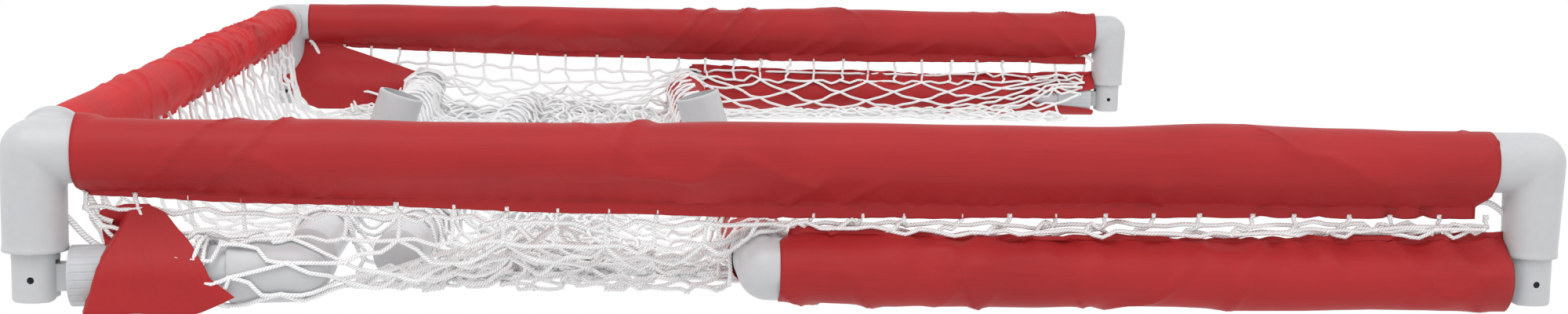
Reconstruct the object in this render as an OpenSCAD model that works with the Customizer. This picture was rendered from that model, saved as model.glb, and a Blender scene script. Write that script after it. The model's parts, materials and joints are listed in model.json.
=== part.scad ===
// Folding hockey goal with a plastic-tube frame, fabric sleeves and a knotted net, folded flat.
// X runs along the posts from the crossbar (-X) to the feet (+X), Y runs along the crossbar and
// Z is up. The goal lies with its mouth up and its hinged shelf and base folded under the posts.
// The right side of the goal is at -Y and the left side at +Y. The origin is the centre of the
// footprint, on the floor.

/* [Frame] */
// Distance between the two post axes
crossbar_len = 1325; // [1100:5:1800]
// Distance from the crossbar axis to the foot elbow axis
post_len = 1075; // [1000:5:1300]
// Distance from the shelf hinge pins to the axis of the shelf's rear tube
shelf_depth = 180; // [175:1:200]
// Distance from the base hinge pins to the axis of the base's rear tube
base_depth = 564.5; // [540:0.5:580]
// Height of the hinge pins over the floor
pin_height = 22; // [22:0.1:26]
// Height of the post axes over the hinge pins
arm_drop = 88; // [86:1:100]
// Rise of the folded shelf from its pins, in degrees
shelf_rise = 1.6; // [0.5:0.1:2]
// Rise of the folded base from its pins, in degrees
base_rise = 0.7; // [0.3:0.1:1]

/* [Tubes and fittings] */
// Outer diameter of every frame tube
tube_d = 38.1; // [37.5:0.1:38.1]
// Wall of every frame tube
tube_wall = 2; // [1.5:0.1:3]
// Outer diameter of the fittings
fitting_d = 44.5; // [44:0.1:45]
// Length of a fitting's arm from its corner to the end of its socket
arm_len = 48; // [44:1:52]
// Depth of a tube in its socket
socket_depth = 28; // [20:1:30]
// Outer diameter of the ring round the end of the crossbar's sockets
ring_d = 50; // [46:0.5:52]
// Length of a tee's stub from its axis to its mouth
stub_len = 61; // [55:1:65]
// Lean of the shelf tee's stub from upright, in degrees towards the feet
shelf_tee_lean = 17.9; // [5:0.1:25]
// Lean of the base tee's stub from upright, in degrees towards the crossbar
base_tee_lean = 16.4; // [0:0.1:17]
// Length of the loose centre support tube
support_len = 1044; // [900:1:1100]
// Angle of the loose support tube from the crossbar's direction, in degrees
support_skew = 3.87; // [0:0.01:4]

/* [Hinges] */
// Outer diameter of a hinge clevis
clevis_d = 33; // [30:0.5:33]
// Width of the slot between the clevis's cheeks
slot_w = 14; // [10:0.5:16]
// Diameter of the hinge pins
pin_d = 4.8; // [4:0.1:6]
// Outer diameter of a lock collar
collar_d = 43; // [42:0.1:43]
// Length of a lock collar
collar_len = 44; // [36:1:48]
// Number of grip grooves round a lock collar
collar_grooves = 24; // [16:4:32]

/* [Sleeves and net] */
// Thickness of the sleeve fabric
fabric_t = 0.45; // [0.4:0.05:0.6]
// Depth of the post sleeves' hem below the post axis
hem_drop = 43; // [30:1:48]
// Thickness of a sewn hem
hem_t = 1.4; // [1:0.1:2]
// Thickness of a net panel's solid
net_t = 2.5; // [2:0.1:3]

/* [Hidden] */
$fn = 64;
eps = 0.01;

RIGHT = -1;
LEFT = 1;
PVC = [0.82, 0.83, 0.84];
RED = [0.66, 0.18, 0.18];
WHITE = [0.95, 0.95, 0.95];
STEEL = [0.2, 0.2, 0.21];

tube_r = tube_d / 2;
tube_bore_r = tube_r - tube_wall;
fitting_r = fitting_d / 2;
ring_r = ring_d / 2;
socket_r = tube_r + 0.07;
passage_r = 17;
clevis_r = clevis_d / 2;
pin_r = pin_d / 2;
pin_hole_r = pin_r + 0.05;
collar_r = collar_d / 2;

// The crossbar end is wider by the ring, so the axes sit off centre by half the difference
x_shift = (ring_r - fitting_r) / 2;
x_head = x_shift - post_len / 2;
x_foot = x_shift + post_len / 2;
y_side = crossbar_len / 2;
z_post = pin_height + arm_drop;

// Crossbar sockets are longer than the others and end in a ring
head_arm_len = 63;
ring_w = 8;
// The end of a fitting's down arm, over the pin
lip_over_pin = 18.4;
lip_w = 3;
lip_out = 0.4;
spigot_depth = 30;
foot_arm_end_r = 20;
down_arm_len = arm_drop - lip_over_pin;
// How far a tube's end stands off the corner of its fitting
tube_start = arm_len - socket_depth;
corner_round = 15;

// The clevis below the pin, its slot above the pin and the rounding of its lower edges
clevis_below = 16;
slot_above = 13;
clevis_round = 6;
tongue_gap = 0.3;
tongue_w = slot_w - 2 * tongue_gap;
eye_r = 9.5;
shoulder_x = 25;
shoulder_t = 2.5;
arm_start = shoulder_x + shoulder_t;
plug_r = tube_bore_r - 0.07;
plug_len = 36;
collar_bore_r = tube_r + 0.08;
groove_r = 0.8;

// Tee run, the web between its two sockets and the depth of the stub's socket
tee_half = 42;
tee_web = 8;
stub_socket = 34;

// Sleeves stand clear of the fittings and collars that they cover
cover_r = fitting_r + 0.3;
hinge_cover_r = collar_r + 0.35;
sleeve_from = 30;
shelf_sleeve_from = 44;
shelf_sleeve_to = shelf_depth - arm_len - 2;
crest_h = 7;
hem_overlap = 0.2;

// Rear axes of the folded shelf and base
x_shelf_rear = x_head + shelf_depth * cos(shelf_rise);
x_base_rear = x_foot - base_depth * cos(base_rise);
z_shelf_rear = pin_height + shelf_depth * sin(shelf_rise);
z_base_rear = pin_height + base_depth * sin(base_rise);

// The loose support tube lies on the floor between the two rear tubes
support_x = -261;
support_y = -31;
support_clear = 3;

// Net heap between the rear tubes, clear of what swings down on each side of it
heap_left = x_shelf_rear + 34;
heap_right = x_base_rear - 36;
heap_y = [-612, 600];
heap_notch_y = 32;
heap_notch_left = 38;
heap_notch_right = 26;
heap_top = 70;

module along_x() {
    rotate([0, 90, 0])
        children();
}

module along_y(side = LEFT) {
    rotate([-90 * side, 0, 0])
        children();
}

// A tube or ring along +X
module pipe_x(r_out, r_in, len) {
    along_x()
        difference() {
            cylinder(r = r_out, h = len);
            translate([0, 0, -1])
                cylinder(r = r_in, h = len + 2);
        }
}

// A fabric ring along +X whose radius runs from r1 to r2
module cover_x(r1, r2, len) {
    along_x()
        difference() {
            cylinder(r1 = r1 + fabric_t, r2 = r2 + fabric_t, h = len);
            translate([0, 0, -eps])
                cylinder(r1 = r1, r2 = r2, h = len + 2 * eps);
        }
}

module at_head(side) {
    translate([x_head, side * y_side, z_post])
        children();
}

module at_foot(side) {
    translate([x_foot, side * y_side, z_post])
        children();
}

// The folded shelf runs along +X from its pins and the folded base along -X from its own
module in_shelf(side) {
    translate([x_head, side * y_side, pin_height])
        rotate([0, -shelf_rise, 0])
            children();
}

module in_base(side) {
    translate([x_foot, side * y_side, pin_height])
        rotate([0, base_rise, 0])
            mirror([1, 0, 0])
                children();
}

// The rounded outer corner of an elbow whose arms run along +X and -Z
module elbow_corner() {
    intersection() {
        along_x()
            translate([0, 0, -fitting_r])
                cylinder(r = fitting_r, h = fitting_r + eps);
        translate([0, 0, -eps])
            cylinder(r = fitting_r, h = fitting_r + eps);
        rotate([90, 0, 0])
            linear_extrude(2 * fitting_r, center = true)
                union() {
                    translate([corner_round - fitting_r, -1])
                        square([fitting_r, fitting_r + 1]);
                    translate([-fitting_r, -1])
                        square([fitting_r + 1, fitting_r + 1 - corner_round]);
                    translate([corner_round - fitting_r, fitting_r - corner_round])
                        circle(corner_round);
                }
    }
}

// Socket and passage of an arm along +Z
module socket(len, bore_r, depth) {
    cylinder(r = min(passage_r, bore_r) - 1, h = len - depth + eps);
    translate([0, 0, len - depth])
        cylinder(r = bore_r, h = depth + 1);
}

// An elbow with arms along +X and -Z, whose second arm ends in radius end_r
module elbow(second_len, second_bore_r, second_depth, end_r = fitting_r) {
    difference() {
        union() {
            along_x()
                cylinder(r = fitting_r, h = arm_len);
            rotate([180, 0, 0])
                cylinder(r1 = fitting_r, r2 = end_r, h = second_len);
            elbow_corner();
        }
        along_x()
            socket(arm_len, socket_r, socket_depth);
        rotate([180, 0, 0])
            socket(second_len, second_bore_r, second_depth);
    }
}

module down_arm_lip(r) {
    translate([0, 0, -down_arm_len])
        difference() {
            cylinder(r = r + lip_out, h = lip_w);
            translate([0, 0, -1])
                cylinder(r = r - 1, h = lip_w + 2);
        }
}

// Three-way corner: post along +X, crossbar inwards along Y, hinge arm down
module top_corner(side) {
    color(PVC)
        at_head(side)
            difference() {
                union() {
                    elbow(down_arm_len, clevis_r + 0.07, spigot_depth);
                    down_arm_lip(fitting_r);
                    along_y(-side)
                        cylinder(r = fitting_r, h = head_arm_len);
                    along_y(-side)
                        translate([0, 0, head_arm_len - ring_w])
                            cylinder(r = ring_r, h = ring_w);
                }
                along_y(-side)
                    socket(head_arm_len, socket_r, socket_depth);
                along_x()
                    socket(arm_len, socket_r, socket_depth);
            }
}

// Foot elbow: post along -X, hinge arm down with a draft
module foot_elbow(side) {
    color(PVC)
        at_foot(side)
            mirror([1, 0, 0])
                union() {
                    elbow(down_arm_len, clevis_r + 0.07, spigot_depth, foot_arm_end_r);
                    down_arm_lip(foot_arm_end_r);
                }
}

// Side outline of a clevis round its pin, rounded along its lower edges
module clevis_outline(top) {
    translate([-clevis_r, clevis_round - clevis_below])
        square([clevis_d, top + clevis_below - clevis_round]);
    translate([clevis_round - clevis_r, -clevis_below])
        square([clevis_d - 2 * clevis_round, clevis_below]);
    for (s = [-1, 1])
        translate([s * (clevis_r - clevis_round), clevis_round - clevis_below])
            circle(clevis_round);
}

// Clevis with its spigot in the down arm and its cheeks round the pin
module clevis(x, side) {
    top = lip_over_pin + spigot_depth - 1;
    color(PVC)
        translate([x, side * y_side, pin_height])
            difference() {
                intersection() {
                    translate([0, 0, -clevis_below])
                        cylinder(r = clevis_r, h = top + clevis_below);
                    rotate([90, 0, 0])
                        linear_extrude(clevis_d + 2, center = true)
                            clevis_outline(top);
                }
                translate([-clevis_d, -slot_w / 2, -clevis_below - 1])
                    cube([2 * clevis_d, slot_w, clevis_below + slot_above + 1]);
                rotate([90, 0, 0])
                    cylinder(r = pin_hole_r, h = clevis_d + 2, center = true);
            }
}

module hinge_pins() {
    color(STEEL)
        for (x = [x_head, x_foot], side = [RIGHT, LEFT])
            translate([x, side * y_side, pin_height])
                rotate([90, 0, 0])
                    cylinder(r = pin_r, h = clevis_d - 1, center = true);
}

module post_tube(side) {
    color(PVC)
        translate([x_head + tube_start, side * y_side, z_post])
            pipe_x(tube_r, tube_bore_r, post_len - 2 * tube_start);
}

module crossbar_tube() {
    inset = head_arm_len - socket_depth;
    color(PVC)
        translate([x_head, inset - y_side, z_post])
            rotate([0, 0, 90])
                pipe_x(tube_r, tube_bore_r, crossbar_len - 2 * inset);
}

module post_sleeve(side) {
    len = post_len - 2 * sleeve_from;
    color(RED)
        translate([x_head + sleeve_from, side * y_side, z_post])
            union() {
                cover_x(cover_r, cover_r, len);
                translate([8, -hem_t / 2, -hem_drop])
                    cube([len - 16, hem_t, hem_drop - cover_r - hem_overlap]);
            }
}

module crossbar_sleeve() {
    inset = head_arm_len + 0.3;
    color(RED)
        translate([x_head, inset - y_side, z_post])
            rotate([0, 0, 90])
                cover_x(tube_r + 0.6, tube_r + 0.6, crossbar_len - 2 * inset);
}

// Hinged end of an arm along +X, in its own frame round the pin
module tongue() {
    color(PVC)
        difference() {
            union() {
                rotate([90, 0, 0])
                    cylinder(r = eye_r, h = tongue_w, center = true);
                translate([0, -tongue_w / 2, -eye_r])
                    cube([shoulder_x + 1, tongue_w, 2 * eye_r]);
                translate([shoulder_x, 0, 0])
                    along_x()
                        cylinder(r = tube_r, h = shoulder_t);
                translate([shoulder_x + 1, 0, 0])
                    along_x()
                        cylinder(r = plug_r, h = shoulder_t + plug_len - 1);
            }
            rotate([90, 0, 0])
                cylinder(r = pin_hole_r, h = tongue_w + 2, center = true);
        }
}

module arm_tube(depth) {
    color(PVC)
        translate([arm_start, 0, 0])
            pipe_x(tube_r, tube_bore_r, depth - tube_start - arm_start);
}

module arm_elbow(depth, side) {
    color(PVC)
        translate([depth, 0, 0])
            rotate([-90 * side, 0, 0])
                mirror([1, 0, 0])
                    elbow(arm_len, socket_r, socket_depth);
}

module rear_tube(depth, side) {
    color(PVC)
        translate([depth, -side * tube_start, 0])
            rotate([0, 0, -90 * side])
                pipe_x(tube_r, tube_bore_r, y_side - tube_start - tee_web);
}

module collar() {
    color(PVC)
        translate([shoulder_x, 0, 0])
            along_x()
                difference() {
                    cylinder(r = collar_r, h = collar_len);
                    translate([0, 0, -1])
                        cylinder(r = collar_bore_r, h = collar_len + 2);
                    for (a = [0 : 360 / collar_grooves : 359])
                        rotate([0, 0, a])
                            translate([collar_r + groove_r * 0.6, 0, 2])
                                cylinder(r = groove_r, h = collar_len - 4, $fn = 16);
                }
}

// Tee with its run along Y and its stub along +Z
module tee() {
    color(PVC)
        difference() {
            union() {
                rotate([90, 0, 0])
                    cylinder(r = fitting_r, h = 2 * tee_half, center = true);
                cylinder(r = fitting_r, h = stub_len);
            }
            rotate([90, 0, 0])
                cylinder(r = passage_r - 1, h = 2 * tee_half + 2, center = true);
            for (side = [RIGHT, LEFT])
                along_y(side)
                    translate([0, 0, tee_web])
                        cylinder(r = socket_r, h = tee_half);
            translate([0, 0, stub_len - stub_socket])
                cylinder(r = socket_r, h = stub_socket + 1);
        }
}

module shelf_tee() {
    translate([x_shelf_rear, 0, z_shelf_rear])
        rotate([0, shelf_tee_lean, 0])
            tee();
}

module base_tee() {
    translate([x_base_rear, 0, z_base_rear])
        rotate([0, -base_tee_lean, 0])
            tee();
}

module support_tube() {
    color(PVC)
        translate([support_x, support_y, tube_r + 0.05])
            rotate([0, 0, 90 - support_skew])
                translate([-support_len / 2, 0, 0])
                    pipe_x(tube_r, tube_bore_r, support_len);
}

// A thin upright sheet of fabric from its outline in X and Z, at height y
module upright_sheet(points, y, thickness) {
    translate([0, y + thickness / 2, 0])
        rotate([90, 0, 0])
            linear_extrude(thickness)
                polygon(points);
}

// Loose shelf sleeve: it hangs open round the tube and reaches the floor
module shelf_sleeve(side) {
    x1 = x_head + shelf_sleeve_from + 2;
    x2 = x_head + shelf_sleeve_to - 2;
    top = pin_height - hinge_cover_r + 1.2;
    color(RED)
        union() {
            in_shelf(side)
                translate([shelf_sleeve_from, 0, 0])
                    cover_x(hinge_cover_r, hinge_cover_r, shelf_sleeve_to - shelf_sleeve_from);
            upright_sheet([[x1, 0], [x2, 0], [x2, top + 1.6], [x1, top]], side * y_side, hem_t);
        }
}

// The left one also stands up in a loose fold on its inner side
module left_shelf_sleeve() {
    y_fold = y_side - hinge_cover_r - hem_t / 2;
    z_mid = pin_height + 3;
    color(RED)
        union() {
            shelf_sleeve(LEFT);
            upright_sheet([
                [x_head + shelf_sleeve_from, z_mid - 4],
                [x_head + shelf_sleeve_to, z_mid - 2],
                [x_head + 160, z_mid + 22],
                [x_head + 90, 68],
                [x_head + 36, 92],
                [x_head + 30, 88]
            ], y_fold, hem_t);
        }
}

// Sleeve round a base arm, with the crest that the net is laced to
module base_sleeve(side) {
    from = shoulder_x;
    to = base_depth - fitting_r - 1;
    r_end = cover_r + 0.05;
    color(RED)
        in_base(side)
            union() {
                translate([from, 0, 0])
                    cover_x(hinge_cover_r, r_end, to - from);
                translate([from + 10, -hem_t / 2, cover_r - 0.1])
                    cube([to - from - 20, hem_t, crest_h]);
            }
}

// Sleeve round half of the base's rear tube, with a fold down to the floor
module base_rear_sleeve(side) {
    r = tube_r + 0.4;
    from = arm_len + 0.3;
    to = y_side - tee_half - 0.3;
    color(RED)
        union() {
            in_base(side)
                translate([base_depth, -side * from, 0])
                    rotate([0, 0, -90 * side])
                        cover_x(r, r, to - from);
            translate([x_base_rear - hem_t / 2, side > 0 ? y_side - to + 2 : from - y_side + 2, 0])
                cube([hem_t, to - from - 4, z_base_rear - r - 0.1]);
        }
}

// Outline of the net heap in X and Z
module heap_outline() {
    polygon([
        [heap_left, 0],
        [heap_left, 28],
        [heap_left + 24, 56],
        [heap_left + 120, heap_top],
        [heap_right - 60, heap_top - 4],
        [heap_right - 12, 46],
        [heap_right, 30],
        [heap_right, 0]
    ]);
}

// Bunched net between the rear tubes, open below round the loose support tube
module net_heap() {
    channel_r = tube_r + support_clear;
    run = support_len + 400;
    color(WHITE)
        difference() {
            translate([0, heap_y[1], 0])
                rotate([90, 0, 0])
                    linear_extrude(heap_y[1] - heap_y[0])
                        heap_outline();
            translate([support_x, support_y, tube_r])
                rotate([0, 0, 90 - support_skew]) {
                    translate([-run / 2, 0, 0])
                        along_x()
                            cylinder(r = channel_r, h = run);
                    translate([-run / 2, -channel_r, -tube_r - 1])
                        cube([run, 2 * channel_r, tube_r + 1]);
                }
            translate([heap_left - 1, -heap_notch_y, -1])
                cube([heap_notch_left, 2 * heap_notch_y, heap_top + 2]);
            translate([heap_right - heap_notch_right, -heap_notch_y, -1])
                cube([heap_notch_right + 1, 2 * heap_notch_y, heap_top + 2]);
        }
}

// Net from the crossbar down to the heap, open round the shelf tee
module crossbar_net() {
    y_end = 596;
    color(WHITE)
        difference() {
            upright_sheet([
                [x_head + 10, z_post - tube_r - 4],
                [x_head + 10 + net_t, z_post - tube_r - 4],
                [x_head + 70, 76 + net_t],
                [heap_left - 4, 61 + net_t],
                [heap_left - 4, 61],
                [x_head + 70 - net_t, 76]
            ], 0, 2 * y_end);
            translate([x_head + 95, -heap_notch_y, 40])
                cube([shelf_depth, 2 * heap_notch_y, 80]);
        }
}

// Net between the right post's hem and the crest of the right base sleeve
module right_side_net() {
    color(WHITE)
        upright_sheet([
            [x_base_rear + 20, 61.5],
            [x_foot - 60, 56.5],
            [x_foot - 60, z_post - hem_drop - 0.4],
            [x_base_rear + 20, z_post - hem_drop - 0.4]
        ], -y_side, net_t);
}

// Net that sags inwards from the left post's hem beside the left base sleeve
module left_side_net() {
    top = z_post - hem_drop - 0.4;
    y_in = y_side - 31;
    color(WHITE)
        translate([x_base_rear + 30, 0, 0])
            rotate([90, 0, 90])
                linear_extrude(x_foot - x_base_rear - 90)
                    polygon([
                        [y_side - net_t / 2, top],
                        [y_side + net_t / 2, top],
                        [y_in + net_t / 2, 40],
                        [y_in + net_t / 2, 12],
                        [y_in - net_t / 2, 12],
                        [y_in - net_t / 2, 41]
                    ]);
}

crossbar_tube();
post_tube(RIGHT);  // right_post_tube
post_tube(LEFT);  // left_post_tube
top_corner(RIGHT);  // right_top_corner
top_corner(LEFT);  // left_top_corner
foot_elbow(RIGHT);  // right_foot_elbow
foot_elbow(LEFT);  // left_foot_elbow
clevis(x_head, RIGHT);  // right_top_clevis
clevis(x_head, LEFT);  // left_top_clevis
clevis(x_foot, RIGHT);  // right_foot_clevis
clevis(x_foot, LEFT);  // left_foot_clevis
hinge_pins();
crossbar_sleeve();
post_sleeve(RIGHT);  // right_post_sleeve
post_sleeve(LEFT);  // left_post_sleeve
crossbar_net();
net_heap();
right_side_net();
left_side_net();
in_shelf(RIGHT) tongue();  // right_shelf_tongue
in_shelf(LEFT) tongue();  // left_shelf_tongue
in_shelf(RIGHT) arm_tube(shelf_depth);  // right_shelf_tube
in_shelf(LEFT) arm_tube(shelf_depth);  // left_shelf_tube
in_shelf(RIGHT) arm_elbow(shelf_depth, RIGHT);  // right_shelf_elbow
in_shelf(LEFT) arm_elbow(shelf_depth, LEFT);  // left_shelf_elbow
in_shelf(RIGHT) rear_tube(shelf_depth, RIGHT);  // right_shelf_rear_tube
in_shelf(LEFT) rear_tube(shelf_depth, LEFT);  // left_shelf_rear_tube
shelf_sleeve(RIGHT);  // right_shelf_sleeve
left_shelf_sleeve();
shelf_tee();
in_shelf(RIGHT) collar();  // right_shelf_collar
in_shelf(LEFT) collar();  // left_shelf_collar
in_base(RIGHT) tongue();  // right_base_tongue
in_base(LEFT) tongue();  // left_base_tongue
in_base(RIGHT) arm_tube(base_depth);  // right_base_tube
in_base(LEFT) arm_tube(base_depth);  // left_base_tube
in_base(RIGHT) arm_elbow(base_depth, RIGHT);  // right_base_elbow
in_base(LEFT) arm_elbow(base_depth, LEFT);  // left_base_elbow
in_base(RIGHT) rear_tube(base_depth, RIGHT);  // right_base_rear_tube
in_base(LEFT) rear_tube(base_depth, LEFT);  // left_base_rear_tube
base_sleeve(RIGHT);  // right_base_sleeve
base_sleeve(LEFT);  // left_base_sleeve
base_rear_sleeve(RIGHT);  // right_base_rear_sleeve
base_rear_sleeve(LEFT);  // left_base_rear_sleeve
base_tee();
in_base(RIGHT) collar();  // right_base_collar
in_base(LEFT) collar();  // left_base_collar
support_tube();
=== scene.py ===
"""Looks of a folding hockey goal, folded flat: plastic tubes, fabric sleeves and a knotted net."""

import json
import logging
import math
from dataclasses import dataclass
from enum import Enum
from typing import Callable, Sequence

import bpy
import numpy as np
from mathutils import Matrix, Vector


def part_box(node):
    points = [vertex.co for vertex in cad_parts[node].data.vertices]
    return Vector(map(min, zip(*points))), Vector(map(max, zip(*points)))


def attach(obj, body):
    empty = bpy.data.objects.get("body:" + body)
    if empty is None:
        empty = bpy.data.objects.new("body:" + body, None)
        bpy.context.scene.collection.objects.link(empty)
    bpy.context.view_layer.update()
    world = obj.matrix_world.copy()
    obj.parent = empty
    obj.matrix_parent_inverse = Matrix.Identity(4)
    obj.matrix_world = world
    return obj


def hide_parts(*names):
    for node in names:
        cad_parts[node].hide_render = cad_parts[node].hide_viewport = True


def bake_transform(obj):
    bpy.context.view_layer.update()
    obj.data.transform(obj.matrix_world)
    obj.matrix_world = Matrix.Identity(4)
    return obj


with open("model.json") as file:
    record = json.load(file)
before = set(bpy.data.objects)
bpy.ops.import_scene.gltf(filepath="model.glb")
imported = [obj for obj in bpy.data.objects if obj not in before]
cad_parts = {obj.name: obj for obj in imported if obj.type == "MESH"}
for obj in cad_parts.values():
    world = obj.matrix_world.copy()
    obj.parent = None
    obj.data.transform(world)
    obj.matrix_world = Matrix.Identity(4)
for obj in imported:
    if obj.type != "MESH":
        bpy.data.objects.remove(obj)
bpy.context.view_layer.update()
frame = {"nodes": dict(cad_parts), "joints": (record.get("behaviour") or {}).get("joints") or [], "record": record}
log = logging.getLogger("goal")

MM = 0.001
RIGHT, LEFT = -1, 1
SIDE_NAMES = {RIGHT: "right", LEFT: "left"}


# ---------------------------------------------------------------- layout

@dataclass(frozen=True)
class Layout:
    """Where the frame's axes run, in metres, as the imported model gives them."""

    x_head: float
    x_foot: float
    z_pin: float
    y_side: float
    z_post: float
    tube_r: float
    shelf_rear: tuple[float, float]
    base_rear: tuple[float, float]

    @classmethod
    def measure(cls) -> "Layout":
        """Reads the axes from the joints and from the right post's box.

        Returns:
            The layout of the folded goal.
        """
        pins = {j["name"]: j["pos_m"] for j in frame["joints"] if "pos_m" in j}
        low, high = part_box("right_post_tube")
        shelf, base = pins["shelf_tee_swivel"], pins["base_tee_swivel"]
        return cls(
            x_head=pins["shelf_fold"][0],
            x_foot=pins["base_fold"][0],
            z_pin=pins["shelf_fold"][2],
            y_side=-(low.y + high.y) / 2,
            z_post=(low.z + high.z) / 2,
            tube_r=(high.z - low.z) / 2,
            shelf_rear=(shelf[0], shelf[2]),
            base_rear=(base[0], base[2]),
        )

    def shelf_corner(self, side: int) -> Vector:
        """Corner of the shelf's rear tube on one side."""
        return Vector((self.shelf_rear[0], side * self.y_side, self.shelf_rear[1]))

    def base_corner(self, side: int) -> Vector:
        """Corner of the base's rear tube on one side."""
        return Vector((self.base_rear[0], side * self.y_side, self.base_rear[1]))

    def head_pin(self, side: int) -> Vector:
        """Pin of the shelf's hinge on one side."""
        return Vector((self.x_head, side * self.y_side, self.z_pin))

    def foot_pin(self, side: int) -> Vector:
        """Pin of the base's hinge on one side."""
        return Vector((self.x_foot, side * self.y_side, self.z_pin))


# ---------------------------------------------------------------- patterns

class Ripple:
    """Smooth seeded noise over a plane, for the lie of loose cloth and cord."""

    def __init__(self, seed: int, size: int = 64) -> None:
        """Draws the lattice.

        Args:
            seed: Seed of the draw.
            size: Cells before the lattice repeats.
        """
        self.size = size
        self.lattice = np.random.RandomState(seed).rand(size, size)

    def at(self, u: np.ndarray, v: np.ndarray) -> np.ndarray:
        """Noise between 0 and 1 at each point.

        Args:
            u: First coordinate, in cells.
            v: Second coordinate, in cells.

        Returns:
            The noise, one value for each point.
        """
        u, v = np.broadcast_arrays(np.asarray(u, float), np.asarray(v, float))
        cell_u, cell_v = np.floor(u).astype(int), np.floor(v).astype(int)
        fu, fv = u - cell_u, v - cell_v
        fu, fv = fu * fu * (3 - 2 * fu), fv * fv * (3 - 2 * fv)
        a, b = cell_u % self.size, (cell_u + 1) % self.size
        c, d = cell_v % self.size, (cell_v + 1) % self.size
        near = self.lattice[a, c] * (1 - fu) + self.lattice[b, c] * fu
        far = self.lattice[a, d] * (1 - fu) + self.lattice[b, d] * fu
        return near * (1 - fv) + far * fv

    def swing(self, u: np.ndarray, v: np.ndarray) -> np.ndarray:
        """Noise between -1 and 1 at each point."""
        return 2 * self.at(u, v) - 1


def ease(t: np.ndarray) -> np.ndarray:
    """Smooth step from 0 to 1."""
    t = np.clip(t, 0, 1)
    return t * t * (3 - 2 * t)


@dataclass(frozen=True)
class Wrinkles:
    """How loose cloth lies: heights and spacings in metres."""

    seed: int
    swell: float = 1.2 * MM
    swell_len: float = 90 * MM
    crease: float = 1.6 * MM
    crease_len: float = 55 * MM
    crease_run: float = 110 * MM
    slant: float = 0.7
    cover: float = 0.45
    pucker: float = 0.7 * MM
    pucker_len: float = 17 * MM
    pucker_reach: float = 14 * MM

    PATCH = (130 * MM, 90 * MM)
    PATCH_EDGE = 0.25
    DRIFT_LEN = 70 * MM
    UNEVEN_LEN = 50 * MM

    def height(self, along: np.ndarray, around: np.ndarray, to_seam: np.ndarray) -> np.ndarray:
        """How far the cloth stands out at each point.

        Args:
            along: Distance along the tube.
            around: Distance round the tube from its top, with its sign.
            to_seam: Distance from the seam that gathers the cloth.

        Returns:
            Heights in metres.
        """
        soft, fold, mask = Ripple(self.seed), Ripple(self.seed + 1), Ripple(self.seed + 2)
        swell = soft.swing(along / self.swell_len, around / (0.6 * self.swell_len))
        out = self.swell * swell
        for lean, shift in ((self.slant, 0), (-self.slant, 31)):
            across = (along + lean * around) / self.crease_len + shift
            length = (around - 0.3 * lean * along) / self.crease_run + shift
            ridge = 1 - np.abs(fold.swing(across, length))
            patch = mask.at(along / self.PATCH[0] + shift, around / self.PATCH[1])
            where = ease((patch - 1 + self.cover) / self.PATCH_EDGE)
            out = out + self.crease * (ridge**6 - 0.35 * ridge**2) * where
        phase = along / self.pucker_len + 1.6 * soft.at(along / self.DRIFT_LEN, 5)
        gather = np.exp(-to_seam / self.pucker_reach)
        uneven = 0.35 + 0.65 * mask.at(along / self.UNEVEN_LEN, 9)
        return out + self.pucker * np.cos(2 * math.pi * phase) * gather * uneven


# ---------------------------------------------------------------- finishes

def srgb(code: str) -> tuple[float, float, float, float]:
    """Turns an sRGB hex colour to linear.

    Args:
        code: Six hex digits.

    Returns:
        Linear red, green and blue, and an alpha of 1.
    """
    parts = [int(code[i:i + 2], 16) / 255 for i in (0, 2, 4)]
    return (*[c / 12.92 if c <= 0.04045 else ((c + 0.055) / 1.055) ** 2.4 for c in parts], 1.0)


def cells(size_mm: float) -> float:
    """A pattern's scale, in cells a metre, from the size of a cell in millimetres."""
    return 1 / (size_mm * MM)


class Nodes:
    """A material's node tree, with one way to add to it."""

    def __init__(self, name: str) -> None:
        """Starts an empty material.

        Args:
            name: Name of the material.
        """
        self.material = bpy.data.materials.new(name)
        self.material.use_nodes = True
        self.tree = self.material.node_tree
        self.tree.nodes.clear()

    def add(self, kind: str, inputs: dict | None = None, **settings: object) -> bpy.types.Node:
        """Adds a node with its settings and links.

        Args:
            kind: Blender's name for the node's type, without ShaderNode.
            inputs: Values or output sockets by input name or number.
            **settings: Attributes of the node.

        Returns:
            The new node.
        """
        node = self.tree.nodes.new("ShaderNode" + kind)
        for name, value in settings.items():
            setattr(node, name, value)
        for name, value in (inputs or {}).items():
            if isinstance(value, bpy.types.NodeSocket):
                self.tree.links.new(value, node.inputs[name])
            else:
                node.inputs[name].default_value = value
        return node

    def ramp(self, fac: bpy.types.NodeSocket, stops: Sequence[tuple[float, str]]) -> bpy.types.NodeSocket:
        """Colours a value by a ramp.

        Args:
            fac: The value's socket.
            stops: Places from 0 to 1 with their sRGB hex colours.

        Returns:
            The colour's socket.
        """
        node = self.add("ValToRGB", {"Fac": fac})
        elements = node.color_ramp.elements
        while len(elements) < len(stops):
            elements.new(0.5)
        for element, (place, code) in zip(elements, stops):
            element.position = place
            element.color = srgb(code)
        return node.outputs["Color"]

    def finish(self, **shader: object) -> bpy.types.Material:
        """Adds the surface and its output.

        Args:
            **shader: Principled inputs, with underscores for spaces.

        Returns:
            The finished material.
        """
        inputs = {name.replace("_", " "): value for name, value in shader.items()}
        surface = self.add("BsdfPrincipled", inputs)
        self.add("OutputMaterial", {"Surface": surface.outputs["BSDF"]})
        return self.material


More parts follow.
